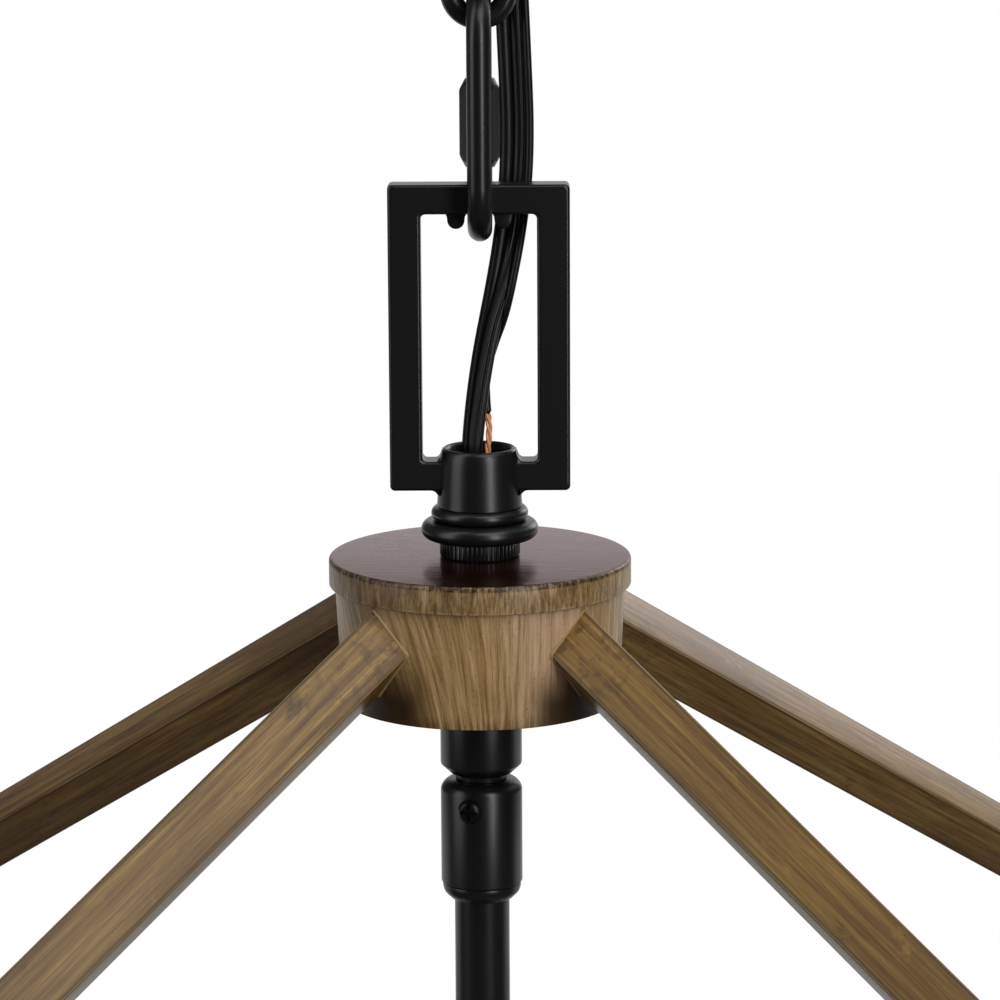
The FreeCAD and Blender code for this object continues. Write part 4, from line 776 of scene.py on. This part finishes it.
# Hub
# A pressed steel lid with a glossy dark lacquer on top sits over a tapered drum; both rims and
# the drum's side carry the wood-grain paint. The arms are welded to the drum's side.
LID_RADIUS, LID_HEIGHT, LID_EDGE, LID_GAUGE = 34.5, 6.4, 0.9, 1.0
DRUM_TOP, DRUM_FOOT, HUB_HEIGHT = 33.4, 31.8, 33.2
DRUM_WALL, DRUM_FLOOR, DRUM_EDGE = 1.2, 1.5, 0.35
LID_TOP_M = LID_TOP_MM * MM
LID_FOOT_M = (LID_TOP_MM - LID_HEIGHT) * MM
DRUM_FOOT_M = (LID_TOP_MM - HUB_HEIGHT) * MM


def wood_paint(name, tones, streaks_mm):
    """Wood-grain paint: three noises that read the piece's own grain map, divided by a streak's
    width and length in millimetres. The first two are mixed and coloured from dark to light. It
    gives the material, the colour so far, the three noises and the grain map."""
    material = finish(name, {
        "Roughness": 0.4, "Specular IOR Level": 0.38, "Coat Weight": 0.08, "Coat Roughness": 0.25})
    tree = material.node_tree
    grain = add_node(tree, "ShaderNodeUVMap", {"uv_map": "Grain"}).outputs["UV"]
    noises = []
    for width, length, turn_deg in streaks_mm:
        stretched = add_node(tree, "ShaderNodeMapping", inputs={
            "Vector": grain, "Rotation": (0.0, 0.0, math.radians(turn_deg)),
            "Scale": (1 / width, 1 / length, 1.0)}).outputs["Vector"]
        noises.append(add_node(tree, "ShaderNodeTexNoise", inputs={
            "Vector": stretched, "Scale": 1.0, "Detail": 7.0, "Roughness": 0.72}).outputs["Fac"])
    mixed = add_node(tree, "ShaderNodeMix", {"data_type": "FLOAT"}, {
        0: 0.42, 2: noises[1], 3: noises[0]}).outputs[0]
    tone = add_node(tree, "ShaderNodeValToRGB", inputs={"Fac": mixed})
    ramp = tone.color_ramp
    places = np.linspace(0.37, 0.63, len(tones))
    ramp.elements[0].position, ramp.elements[1].position = places[0], places[-1]
    ramp.elements[0].color, ramp.elements[1].color = linear(tones[0]), linear(tones[-1])
    for place_on_ramp, hex_colour in zip(places[1:-1], tones[1:-1]):
        ramp.elements.new(place_on_ramp).color = linear(hex_colour)
    relief = add_node(tree, "ShaderNodeBump", inputs={
        "Height": noises[0], "Strength": 0.3, "Distance": 0.0001}).outputs["Normal"]
    tree.links.new(relief, tree.nodes["Principled BSDF"].inputs["Normal"])
    return material, tone.outputs["Color"], noises, grain


def paint_over(material, colour, layers):
    """Lays colours over a paint. A layer is a hex colour and the steps of its mask. Each step has
    a value, the two limits between which it fades smoothly, and the mask at either limit, which
    is 0 and 1 where nothing is said. The mask is the product of its steps."""
    tree = material.node_tree
    for hex_colour, *steps in layers:
        mask = None
        for value, low, high, *shares in steps:
            at_low, at_high = shares or (0.0, 1.0)
            step = add_node(tree, "ShaderNodeMapRange", SMOOTH, {
                "Value": value, "From Min": low, "From Max": high,
                "To Min": at_low, "To Max": at_high}).outputs["Result"]
            mask = step if mask is None else add_node(
                tree, "ShaderNodeMath", {"operation": "MULTIPLY"}, {0: mask, 1: step}).outputs["Value"]
        colour = add_node(tree, "ShaderNodeMix", {"data_type": "RGBA"}, {
            0: mask, 6: colour, 7: linear(hex_colour)}).outputs[2]
    tree.links.new(colour, tree.nodes["Principled BSDF"].inputs["Base Color"])


# The drum's paint: fine upright streaks that lean in at the left, in tan and gold, with a painted pinkish
# sheen over the front that the right side has more of, painted shade along the lower edge and a painted
# shadow on the foot under the arms.
hub_paint, colour, noises, _ = wood_paint(
    "brushed_wood_grain_paint_on_drum", ("533916", "7d5e34", "9d7c4c", "b89667", "d0b085"),
    ((0.28, 16.0, 4.0), (1.3, 30.0, -7.0), (12.0, 30.0, 0.0)))
tree = hub_paint.node_tree
here = add_node(tree, "ShaderNodeTexCoord").outputs["Object"]
at = add_node(tree, "ShaderNodeSeparateXYZ", inputs={"Vector": here}).outputs
by_arms = add_node(tree, "ShaderNodeMath", {"operation": "MULTIPLY"}, {
    0: at["X"], 1: at["Y"]}).outputs["Value"]
by_arms = add_node(tree, "ShaderNodeMath", {"operation": "ABSOLUTE"}, {0: by_arms}).outputs["Value"]
specks = add_node(tree, "ShaderNodeTexNoise", inputs={
    "Vector": here, "Scale": 1 / (0.5 * MM), "Detail": 3.0}).outputs["Fac"]
paint_over(hub_paint, colour, [
    # Bands of gold.
    ("7c5d2e", (noises[2], 0.5, 0.4), (noises[0], 0.4, 0.6, 0.8, 0.3)),
    # Pinkish tan over the front, more to the right: a painted sheen, broken up by the grain.
    ("c2a389", (at["X"], 0.002, 0.02, 0.15, 0.8), (noises[1], 0.4, 0.6, 0.4, 1.0),
     (at["Y"], -0.018, -0.026)),
    # Painted shade along the lower edge, broken up by the grain.
    ("4a3418", (at["Z"], DRUM_FOOT_M + 0.004, DRUM_FOOT_M), (noises[1], 0.4, 0.6, 0.7, 0.1)),
    # Painted shadow on the foot under the arms.
    ("3a2811", (at["Z"], DRUM_FOOT_M + 0.015, DRUM_FOOT_M + 0.004), (by_arms, 0.00030, 0.00046)),
    # Fine dark specks, half a millimetre across.
    ("46331c", (specks, 0.6, 0.72, 0.0, 0.5))])

# The lid's rim: shorter and finer slanted streaks, a dark chipped upper edge, a pale lower edge.
rim_paint, colour, noises, _ = wood_paint(
    "brushed_wood_grain_paint_on_rim", ("3f2c12", "6a4f2c", "8e714a", "ab8f69", "cbb190"),
    ((0.17, 3.2, 8.0), (1.0, 9.0, 10.0), (11.0, 20.0, 0.0)))
tree = rim_paint.node_tree
here = add_node(tree, "ShaderNodeTexCoord").outputs["Object"]
level = add_node(tree, "ShaderNodeSeparateXYZ", inputs={"Vector": here}).outputs["Z"]
chips = add_node(tree, "ShaderNodeTexNoise", inputs={
    "Vector": here, "Scale": 1 / (0.9 * MM), "Detail": 5.0}).outputs["Fac"]
chips = add_node(tree, "ShaderNodeMath", {"operation": "MULTIPLY"}, {
    0: chips, 1: noises[1]}).outputs["Value"]
specks = add_node(tree, "ShaderNodeTexNoise", inputs={
    "Vector": here, "Scale": 1 / (0.45 * MM), "Detail": 3.0}).outputs["Fac"]
paint_over(rim_paint, colour, [
    # Broad darker patches.
    ("4a361d", (noises[2], 0.5, 0.62, 0.0, 0.5)),
    # The chipped upper edge.
    ("1c1006", (level, LID_TOP_M - 0.0014, LID_TOP_M - 0.0009), (chips, 0.18, 0.32, 0.95, 0.3)),
    # The pale lower edge.
    ("c0a27c", (level, LID_FOOT_M + 0.0006, LID_FOOT_M + 0.0002, 0.0, 0.7), (noises[1], 0.4, 0.55)),
    # Fine dark specks.
    ("3a2912", (specks, 0.58, 0.7, 0.0, 0.45))])

# The lid's top: a dark red-brown lacquer with a mirror-like shine, drawn out sideways by fine
# rubbing marks about 12 mm long and 0.5 mm wide.
RUB_LENGTH_MM, RUB_WIDTH_MM, RUB_TURN_DEG = 12.0, 0.5, 20
lid_lacquer = finish("dark_mahogany_lacquer", {
    "Base Color": linear("2e180c"), "Roughness": 0.2, "Metallic": 0.65,
    "Specular Tint": linear("f8e2e6"), "Coat Weight": 0.1, "Coat Roughness": 0.1})
tree = lid_lacquer.node_tree
here = add_node(tree, "ShaderNodeTexCoord").outputs["Object"]
rubbed = add_node(tree, "ShaderNodeMapping", inputs={
    "Vector": here, "Rotation": (0.0, 0.0, math.radians(RUB_TURN_DEG)),
    "Scale": (1 / (RUB_LENGTH_MM * MM), 1 / (RUB_WIDTH_MM * MM), 1.0)}).outputs["Vector"]
marks = add_node(tree, "ShaderNodeTexNoise", inputs={
    "Vector": rubbed, "Scale": 1.0, "Detail": 4.0}).outputs["Fac"]
relief = add_node(tree, "ShaderNodeBump", inputs={
    "Height": marks, "Strength": 0.8, "Distance": 0.0001}).outputs["Normal"]
tree.links.new(relief, tree.nodes["Principled BSDF"].inputs["Normal"])

lid_profile = softened([
    (THREAD_HOLE, 0.0), (LID_RADIUS, 0.0), (LID_RADIUS, -LID_HEIGHT), (DRUM_TOP + 0.2, -LID_HEIGHT),
    (DRUM_TOP + 0.2, -LID_GAUGE), (THREAD_HOLE, -LID_GAUGE), (THREAD_HOLE, 0.0)], LID_EDGE)
lid = turned("hub_cap", lid_profile + (0, LID_TOP_MM), columns=256)
dress(lid, lid_lacquer, "lantern", "lid_paint", "hub_lid")
lid.data.materials.append(rim_paint)
# Faces that look almost straight up take the lacquer, and all others the rim's paint.
UPWARD = 0.93
normals = np.empty(len(lid.data.polygons) * 3, np.float32)
lid.data.polygons.foreach_get("normal", normals)
lid.data.polygons.foreach_set("material_index", (normals[2::3] < UPWARD).astype(np.int32))

drum_profile = softened([
    (THREAD_HOLE, -HUB_HEIGHT), (DRUM_FOOT, -HUB_HEIGHT), (DRUM_TOP, -LID_GAUGE),
    (DRUM_TOP - DRUM_WALL, -LID_GAUGE), (DRUM_FOOT - DRUM_WALL, -HUB_HEIGHT + DRUM_FLOOR),
    (THREAD_HOLE, -HUB_HEIGHT + DRUM_FLOOR), (THREAD_HOLE, -HUB_HEIGHT)], DRUM_EDGE)
drum = turned("hub_side", drum_profile + (0, LID_TOP_MM), columns=256)
dress(drum, hub_paint, "lantern", "wood_paint", "hub_drum")
# The brush went slanting over the left side: its map leans there, by LEAN millimetres for each
# millimetre of height where the side faces left, and stays upright where it faces right.
LEAN, LEAN_FROM = 0.42, 0.2
layer = drum.data.uv_layers["Grain"].data
drum_map = np.empty(len(layer) * 2, np.float32)
layer.foreach_get("uv", drum_map)
drum_map = drum_map.reshape(-1, 2)
leftward = np.clip(LEAN_FROM - np.cos(drum_map[:, 0] / DRUM_TOP), 0, 1)
drum_map[:, 0] += LEAN * leftward * (drum_map[:, 1] - DRUM_FOOT)
layer.foreach_set("uv", drum_map.reshape(-1))

# Arms
# Square steel tubes set corner up, brushed with a golden brown wood-grain paint. Each starts in
# the drum's side, where a thin bead welds it, and ends against a corner post.
TUBE_WIDTH = 12.7
TUBE_EDGE = 0.6
TUBE_SIDE = TUBE_WIDTH - 2 * TUBE_EDGE + math.pi * TUBE_EDGE / 2
ARM_SLOPE = math.radians(29.5)
ARM_APEX = 1.0
ARM_START = 29.0
CORNER_REACH = 254.0 * math.sqrt(2)
ARM_END = CORNER_REACH - 0.3
# Each arm reads the grain this much farther along, so that no two look alike.
ARM_GRAIN_MM = 431.0
WELD_RADIUS = 0.5
WELD_ROUNDS = 12

# The tubes' paint has fine faint streaks a little off the tube's own line, soft dark knots, pale corners that
# are partly worn paint and partly a painted highlight, with a thin dark line beside them, and a mottled patch
# at the drum.
frame_paint, colour, noises, grain = wood_paint(
    "brushed_wood_grain_paint_on_tube", ("3f2b14", "644620", "80602e", "98763e", "b09058"),
    ((0.24, 20.0, 5.0), (1.8, 60.0, 4.0), (9.0, 20.0, 14.0)))
tree = frame_paint.node_tree
drift = add_node(tree, "ShaderNodeMapping", inputs={
    "Vector": grain, "Scale": (1 / 60, 1 / 110, 1.0)}).outputs["Vector"]
drift = add_node(tree, "ShaderNodeTexNoise", inputs={
    "Vector": drift, "Scale": 1.0, "Detail": 1.0}).outputs["Fac"]
around_tube = add_node(tree, "ShaderNodeSeparateXYZ", inputs={"Vector": grain}).outputs["X"]
centred = add_node(tree, "ShaderNodeMath", {"operation": "SUBTRACT"}, {
    0: around_tube, 1: math.pi * TUBE_EDGE / 4}).outputs["Value"]
from_edge = add_node(tree, "ShaderNodeMath", {"operation": "PINGPONG"}, {
    0: centred, 1: TUBE_SIDE / 2}).outputs["Value"]
here = add_node(tree, "ShaderNodeTexCoord").outputs["Object"]
from_axis = add_node(tree, "ShaderNodeVectorMath", {"operation": "MULTIPLY"}, {
    0: here, 1: (1.0, 1.0, 0.0)}).outputs[0]
from_axis = add_node(tree, "ShaderNodeVectorMath", {"operation": "LENGTH"}, {
    0: from_axis}).outputs["Value"]
mottle = add_node(tree, "ShaderNodeTexNoise", inputs={
    "Vector": here, "Scale": 1 / (2.6 * MM), "Detail": 8.0}).outputs["Fac"]
paint_over(frame_paint, colour, [
    # Slow drifts from tube to tube, then dark knots and light patches.
    ("523715", (drift, 0.42, 0.62, 0.0, 0.55)),
    ("3a2712", (noises[2], 0.58, 0.74, 0.0, 0.85)),
    ("9a7b3e", (noises[2], 0.42, 0.3, 0.0, 0.5)),
    # The mottled patch, which ends 66 mm from the axis.
    ("3f2b10", (from_axis, 0.066, 0.036), (mottle, 0.46, 0.66, 0.0, 0.6)),
    # The dark line beside a corner, and the corner's pale line: worn paint and a painted highlight.
    ("2c1d0b", (from_edge, 1.0, 0.5, 0.0, 0.8), (noises[1], 0.38, 0.6, 0.3, 1.0)),
    ("ad8f62", (from_edge, 0.32, 0.12), (noises[1], 0.36, 0.6, 0.1, 0.6))])

# The weld beads take the arms' paint made pale, as a painted highlight along the weld, with a light gloss.
weld_highlight_paint = finish("pale_weld_paint_with_painted_highlight", {
    "Base Color": linear("9d8159"), "Roughness": 0.35, "Coat Weight": 0.3, "Coat Roughness": 0.2})


def square_section(width, edge, steps=5):
    """Points round a square with rounded corners, counter-clockwise from the middle of a side."""
    turn = np.linspace(0, math.pi / 2, steps)
    corner = width / 2 - edge + edge * np.stack([np.cos(turn), np.sin(turn)], 1)
    quarters = [corner @ np.array([[math.cos(q), math.sin(q)], [-math.sin(q), math.cos(q)]])
                for q in np.arange(4) * math.pi / 2]
    return np.concatenate(quarters)


def drum_radius(height):
    """The drum's outer radius at a height below the lid's top."""
    return DRUM_FOOT + (DRUM_TOP - DRUM_FOOT) * (height + HUB_HEIGHT) / (HUB_HEIGHT - LID_GAUGE)


square = square_section(TUBE_WIDTH, TUBE_EDGE)
diamond = square @ (np.array([[1, 1], [-1, 1]]) / math.sqrt(2))
sides = np.linalg.norm(np.diff(np.vstack([square, square[:1]]), axis=0), axis=1)
perimeter = np.concatenate([[0.0], np.cumsum(sides)])
CORNERS = {"front_right": -45, "back_right": 45, "back_left": 135, "front_left": 225}
for order, (corner_name, heading_deg) in enumerate(CORNERS.items()):
    heading = math.radians(heading_deg)
    outward = np.array([math.cos(heading), math.sin(heading), 0.0])
    sideways = np.array([-math.sin(heading), math.cos(heading), 0.0])
    reach = np.concatenate([[ARM_START], np.linspace(ARM_START, ARM_END, 80), [ARM_END]])
    scale = np.ones(len(reach))
    scale[[0, -1]] = 0.0
    axis_height = LID_TOP_MM + ARM_APEX - reach * math.tan(ARM_SLOPE)
    points = (reach[:, None, None] * outward + (scale[:, None] * diamond[:, 0])[..., None] * sideways
              + (axis_height[:, None] + scale[:, None] * diamond[:, 1] / math.cos(ARM_SLOPE))[..., None]
              * np.array([0.0, 0.0, 1.0]))
    across = np.broadcast_to(perimeter, (len(reach), len(perimeter)))
    along = np.broadcast_to(
        (reach / math.cos(ARM_SLOPE))[:, None] + ARM_GRAIN_MM * order, across.shape)
    arm = surface(f"hub_arm_{corner_name}", points, close_columns=True, grain=(across, along))
    dress(arm, frame_paint, "lantern", "wood_paint", f"arm_{corner_name}")
    # A thin bead where the arm meets the drum, in a pale paint that is a painted highlight along the weld.
    # Its height and its distance from the axis depend on each other, so they are worked out in turn until
    # they settle.
    seam = np.full(len(diamond), DRUM_TOP)
    for _ in range(WELD_ROUNDS):
        height = ARM_APEX - seam * math.tan(ARM_SLOPE) + diamond[:, 1] / math.cos(ARM_SLOPE)
        seam = np.sqrt(drum_radius(height) ** 2 - diamond[:, 0] ** 2)
    line = (seam[:, None] * outward + diamond[:, :1] * sideways
            + (height + LID_TOP_MM)[:, None] * np.array([0.0, 0.0, 1.0]))
    bead = carried(f"arm_weld_{corner_name}", line, disc_section(WELD_RADIUS, 10), outward,
                   close_path=True)
    dress(bead, weld_highlight_paint, "lantern", "wood_paint")

# Lantern frame
# Four closed corner posts and two squares of rails, all of the arms' square steel tube, welded
# together at the corners and brushed with the same paint.
# Posts and rails, too, each read the grain farther along than the one before.
POST_GRAIN_MM = 523.0
RAIL_GRAIN_MM = 700.0
TOP_RAIL_GRAIN_MM = 311.0
POST_ROWS = 40
end_share = np.array([0.0, 0.86, 0.97, 1.0])
end_depth = np.array([0.0, 0.0, 0.25, 0.9])
for order, corner_name in enumerate(CORNERS):
    low, high = (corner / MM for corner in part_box(f"post_{corner_name}"))
    heights = np.concatenate([
        low.z + end_depth, np.linspace(low.z + 5, high.z - 5, POST_ROWS), high.z - end_depth[::-1]])
    shrink = np.concatenate([end_share, np.ones(POST_ROWS), end_share[::-1]])
    middle = ((low.x + high.x) / 2, (low.y + high.y) / 2)
    rows = shrink[:, None, None] * square[None] + middle
    points = np.concatenate([rows, np.broadcast_to(heights[:, None, None], (*rows.shape[:2], 1))], -1)
    across = np.broadcast_to(perimeter, (len(heights), len(perimeter)))
    along = np.broadcast_to(heights[:, None] + POST_GRAIN_MM * order, across.shape)
    post = surface(f"corner_post_{corner_name}", points, close_columns=True, grain=(across, along))
    dress(post, frame_paint, "lantern", "wood_paint", f"post_{corner_name}")
for level in ("top", "bottom"):
    low, high = (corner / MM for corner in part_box(f"{level}_rails"))
    height = (low.z + high.z) / 2
    reach = high.x - TUBE_WIDTH / 2
    half_rail = reach - TUBE_WIDTH / 2 + 0.2
    for order, side in enumerate(((1, 0), (0, 1), (-1, 0), (0, -1))):
        run = np.array([-side[1], side[0], 0.0])
        centre = np.array([side[0] * reach, side[1] * reach, height])
        path = centre + np.linspace(-half_rail, half_rail, 60)[:, None] * run
        rail = carried(f"{level}_rail_{order + 1}", path, square, (0, 0, 1),
                       grain_start=RAIL_GRAIN_MM * order + TOP_RAIL_GRAIN_MM * (level == "top"))
        dress(rail, frame_paint, "lantern", "wood_paint", f"{level}_rails")

# Coupling and stem
# A turned collar screws onto the nipple under the drum; a sleeve swivels on its tenon, is
# clamped by a cross-head screw, and holds the stem tube in its beaded foot.
low, high = (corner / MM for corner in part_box("coupling_collar"))
COUPLING_RADIUS = 9.4
collar_profile = softened([
    (THREAD_HOLE, high.z), (COUPLING_RADIUS, high.z), (COUPLING_RADIUS, high.z - 15.7), (7.1, high.z - 17.9),
    (5.9, high.z - 17.9), (5.9, high.z - 19.5), (4.85, high.z - 19.5), (4.85, low.z), (3.5, low.z),
    (3.5, high.z - 13.45), (THREAD_HOLE, high.z - 13.45), (THREAD_HOLE, high.z)], 0.3)
dress(turned("swivel_collar", collar_profile), black_coat, "lantern", "black_coat", "coupling_collar")


def bowed(points, steps=12):
    """A profile whose stretches may be arcs. A point's third value is how far the stretch after
    it stands out to the right of its direction, as a share b of half its chord h: the arc turns
    by 4 atan(b) with a radius of h (1 + b b) / (2 b)."""
    line = []
    for start, end in zip(points, points[1:]):
        a, b = np.array(start[:2], float), np.array(end[:2], float)
        share = start[2] if len(start) > 2 else 0.0
        if not share:
            line.append(a)
            continue
        half = (b - a) / 2
        side = np.array([half[1], -half[0]])
        swing = np.linspace(-1, 1, steps)[:-1] * 2 * math.atan(share)
        radius = (1 + share * share) / (2 * share)
        line.extend(a + half + half * radius * np.sin(swing)[:, None]
                    + side * (radius * np.cos(swing) - radius + share)[:, None])
    line.append(np.array(points[-1][:2], float))
    return np.array(line)


QUARTER_SHARE = math.tan(math.pi / 8)
SHALLOW_SHARE = 0.2
low, high = (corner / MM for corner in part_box("coupling_sleeve"))
foot = low.z
sleeve_profile = bowed([
    (THREAD_HOLE, high.z), (THREAD_HOLE, foot + 16.0), (6.4, foot + 16.0), (6.4, foot), (7.3, foot),
    (8.5, foot + 1.2, SHALLOW_SHARE), (9.0, foot + 3.5), (8.9, foot + 3.5), (COUPLING_RADIUS, foot + 4.0),
    (COUPLING_RADIUS, foot + 25.8, QUARTER_SHARE), (5.95, high.z), (THREAD_HOLE, high.z)])
dress(turned("swivel_sleeve", sleeve_profile), black_coat, "cluster", "black_coat", "coupling_sleeve")
# Blackened steel: the clamp screw's dark head keeps a little of the metal's shine.
black_steel = finish("blackened_steel_screw", {
    "Base Color": linear("1c1c1c"), "Metallic": 0.7, "Roughness": 0.35})
repaint("coupling_screw", black_steel)

low, high = (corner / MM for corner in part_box("stem_tube"))
stem_profile = [(5.35, low.z), (6.35, low.z), (6.35, high.z), (5.35, high.z)]
stem = turned("centre_stem", stem_profile, columns=64, closed=True)
dress(stem, black_coat, "cluster", "black_coat", "stem_tube")

# Candle cluster
# A turned body on the stem's foot carries a finial and four bent tube arms; each arm has a drip
# pan, a lampholder inside a satin black candle cover, and a clear candle bulb.
low, high = (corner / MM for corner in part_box("cluster_body"))
foot = low.z
body_profile = softened(bowed([
    (0.0, foot), (10.0, foot), (21.0, foot + 8.32, SHALLOW_SHARE), (21.0, foot + 30.16), (10.0, foot + 39.52),
    (10.0, foot + 52.0), (6.4, foot + 52.0), (6.4, foot + 36.0), (0.0, foot + 36.0)]), 0.5, 3)
dress(turned("cluster_turning", body_profile), black_coat, "cluster", "black_coat", "cluster_body")
low, high = (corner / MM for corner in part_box("cluster_finial"))
finial_profile = bowed([
    (0.0, low.z), (2.4, low.z, SHALLOW_SHARE), (5.4, low.z + 4.86), (12.0, low.z + 13.5, SHALLOW_SHARE),
    (6.6, low.z + 22.95), (10.0, low.z + 27.0), (0.0, low.z + 27.0)])
finial = turned("cluster_drop", softened(finial_profile, 0.4, 3))
dress(finial, black_coat, "cluster", "black_coat", "cluster_finial")

# The covers are black card with a faint sheen, the bulbs' bases plated brass that shines softly
# yellow, the filaments dull grey tungsten, the bulbs clear thin glass that hardly bends what lies
# behind it, and the lampholders cream phenolic.
cover_card = finish("satin_black_candle_cover", {"Base Color": linear("161616"), "Roughness": 0.45})
brass = finish("nickel_brass_lamp_base", {
    "Base Color": linear("c8b07a"), "Metallic": 1.0, "Roughness": 0.28})
filament = finish("tungsten_filament", {
    "Base Color": linear("6f6256"), "Metallic": 1.0, "Roughness": 0.4})
lamp_glass = finish("clear_soda_lime_glass", {
    "Base Color": (1.0, 1.0, 1.0, 1.0), "Roughness": 0.0, "Transmission Weight": 1.0, "IOR": 1.02,
    "Coat Weight": 1.0, "Coat Roughness": 0.02})
cream_plastic = finish("cream_phenolic_lampholder", {
    "Base Color": linear("d8cfb6"), "Roughness": 0.5})
repaint("lampholders", cream_plastic)

CANDLE_REACH, CANDLE_BEND, CANDLE_RISE, CANDLE_TUBE_RADIUS = 105.0, 26.0, 42.0, 4.75
PAN_FLOOR = 1.2
FILAMENT_HALF, FILAMENT_FOOT, FILAMENT_RISE, FILAMENT_RADIUS = 4.2, 40.0, 26.0, 0.25
FILAMENT_STEPS = 90
upward = np.array([0.0, 0.0, 1.0])
for k in range(4):
    heading = math.radians(45 + 90 * k)
    outward = np.array([math.cos(heading), math.sin(heading), 0.0])
    pan_low, pan_high = (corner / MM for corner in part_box(f"drip_pan_{k + 1}"))
    centre = ((pan_low.x + pan_high.x) / 2, (pan_low.y + pan_high.y) / 2)
    hub_height = pan_low.z - CANDLE_RISE
    bend = np.linspace(0, math.pi / 2, 20)
    bow = np.stack([CANDLE_REACH - CANDLE_BEND + CANDLE_BEND * np.sin(bend),
                    CANDLE_BEND - CANDLE_BEND * np.cos(bend)], 1)
    side_view = np.concatenate([
        [(12.0, 0.0), (40.0, 0.0), (60.0, 0.0)], bow, [(CANDLE_REACH, 34.0), (CANDLE_REACH, CANDLE_RISE)]])
    path = side_view[:, :1] * outward + (side_view[:, 1:] + hub_height) * upward
    arm = carried(f"candle_tube_{k + 1}", path, disc_section(CANDLE_TUBE_RADIUS, 32),
                  np.cross(outward, upward))
    dress(arm, black_coat, "cluster", "black_coat", f"candle_arm_{k + 1}")
    foot = pan_low.z
    seat = foot + PAN_FLOOR
    pan_profile = bowed([
        (0.0, foot), (14.26, foot, SHALLOW_SHARE), (23.0, foot + 5.4), (23.0, foot + 6.0),
        (21.8, foot + 6.0, -SHALLOW_SHARE), (13.8, seat), (0.0, seat)])
    pan = turned(f"wax_pan_{k + 1}", pan_profile, centre)
    dress(pan, black_coat, "cluster", "black_coat", f"drip_pan_{k + 1}")
    cover_profile = bowed([
        (9.8, seat), (11.0, seat), (11.0, seat + 80.8, QUARTER_SHARE), (9.8, seat + 82.0), (8.6, seat + 82.0),
        (8.6, seat + 80.8), (9.8, seat + 80.8), (9.8, seat)], 8)
    cover = turned(f"candle_cover_{k + 1}", cover_profile, centre, columns=64)
    dress(cover, cover_card, "cluster", "candle_cover", f"candle_sleeve_{k + 1}")
    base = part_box(f"bulb_{k + 1}")[0][2] / MM - 0.3
    base_profile = [(0.0, base + 0.3), (2.98, base + 0.3), (5.95, base + 2.0), (5.95, base + 29.3),
                    (6.6, base + 29.6), (5.2, base + 30.4), (0.0, base + 30.4)]
    lamp_base = turned(f"lamp_base_{k + 1}", base_profile, centre, columns=48)
    dress(lamp_base, brass, f"bulb_{k + 1}", "bulb_glass", f"bulb_{k + 1}")
    glass_profile = bowed([
        (6.6, base + 29.6, SHALLOW_SHARE), (17.5, base + 49.0, SHALLOW_SHARE / 2),
        (2.2, base + 96.8, QUARTER_SHARE), (0.0, base + 99.0)], 24)
    glass = turned(f"lamp_glass_{k + 1}", glass_profile, centre, columns=64)
    dress(glass, lamp_glass, f"bulb_{k + 1}", "bulb_glass", f"bulb_{k + 1}")
    turn = np.linspace(0, 1, FILAMENT_STEPS)
    loop = np.stack([
        centre[0] + FILAMENT_HALF * np.sin(2 * math.pi * turn), np.full(FILAMENT_STEPS, centre[1]),
        base + FILAMENT_FOOT + FILAMENT_RISE * np.sin(math.pi * turn)], 1)
    wire = carried(f"lamp_filament_{k + 1}", loop, disc_section(FILAMENT_RADIUS, 8), (0, 1, 0))
    dress(wire, filament, f"bulb_{k + 1}", "bulb_glass")
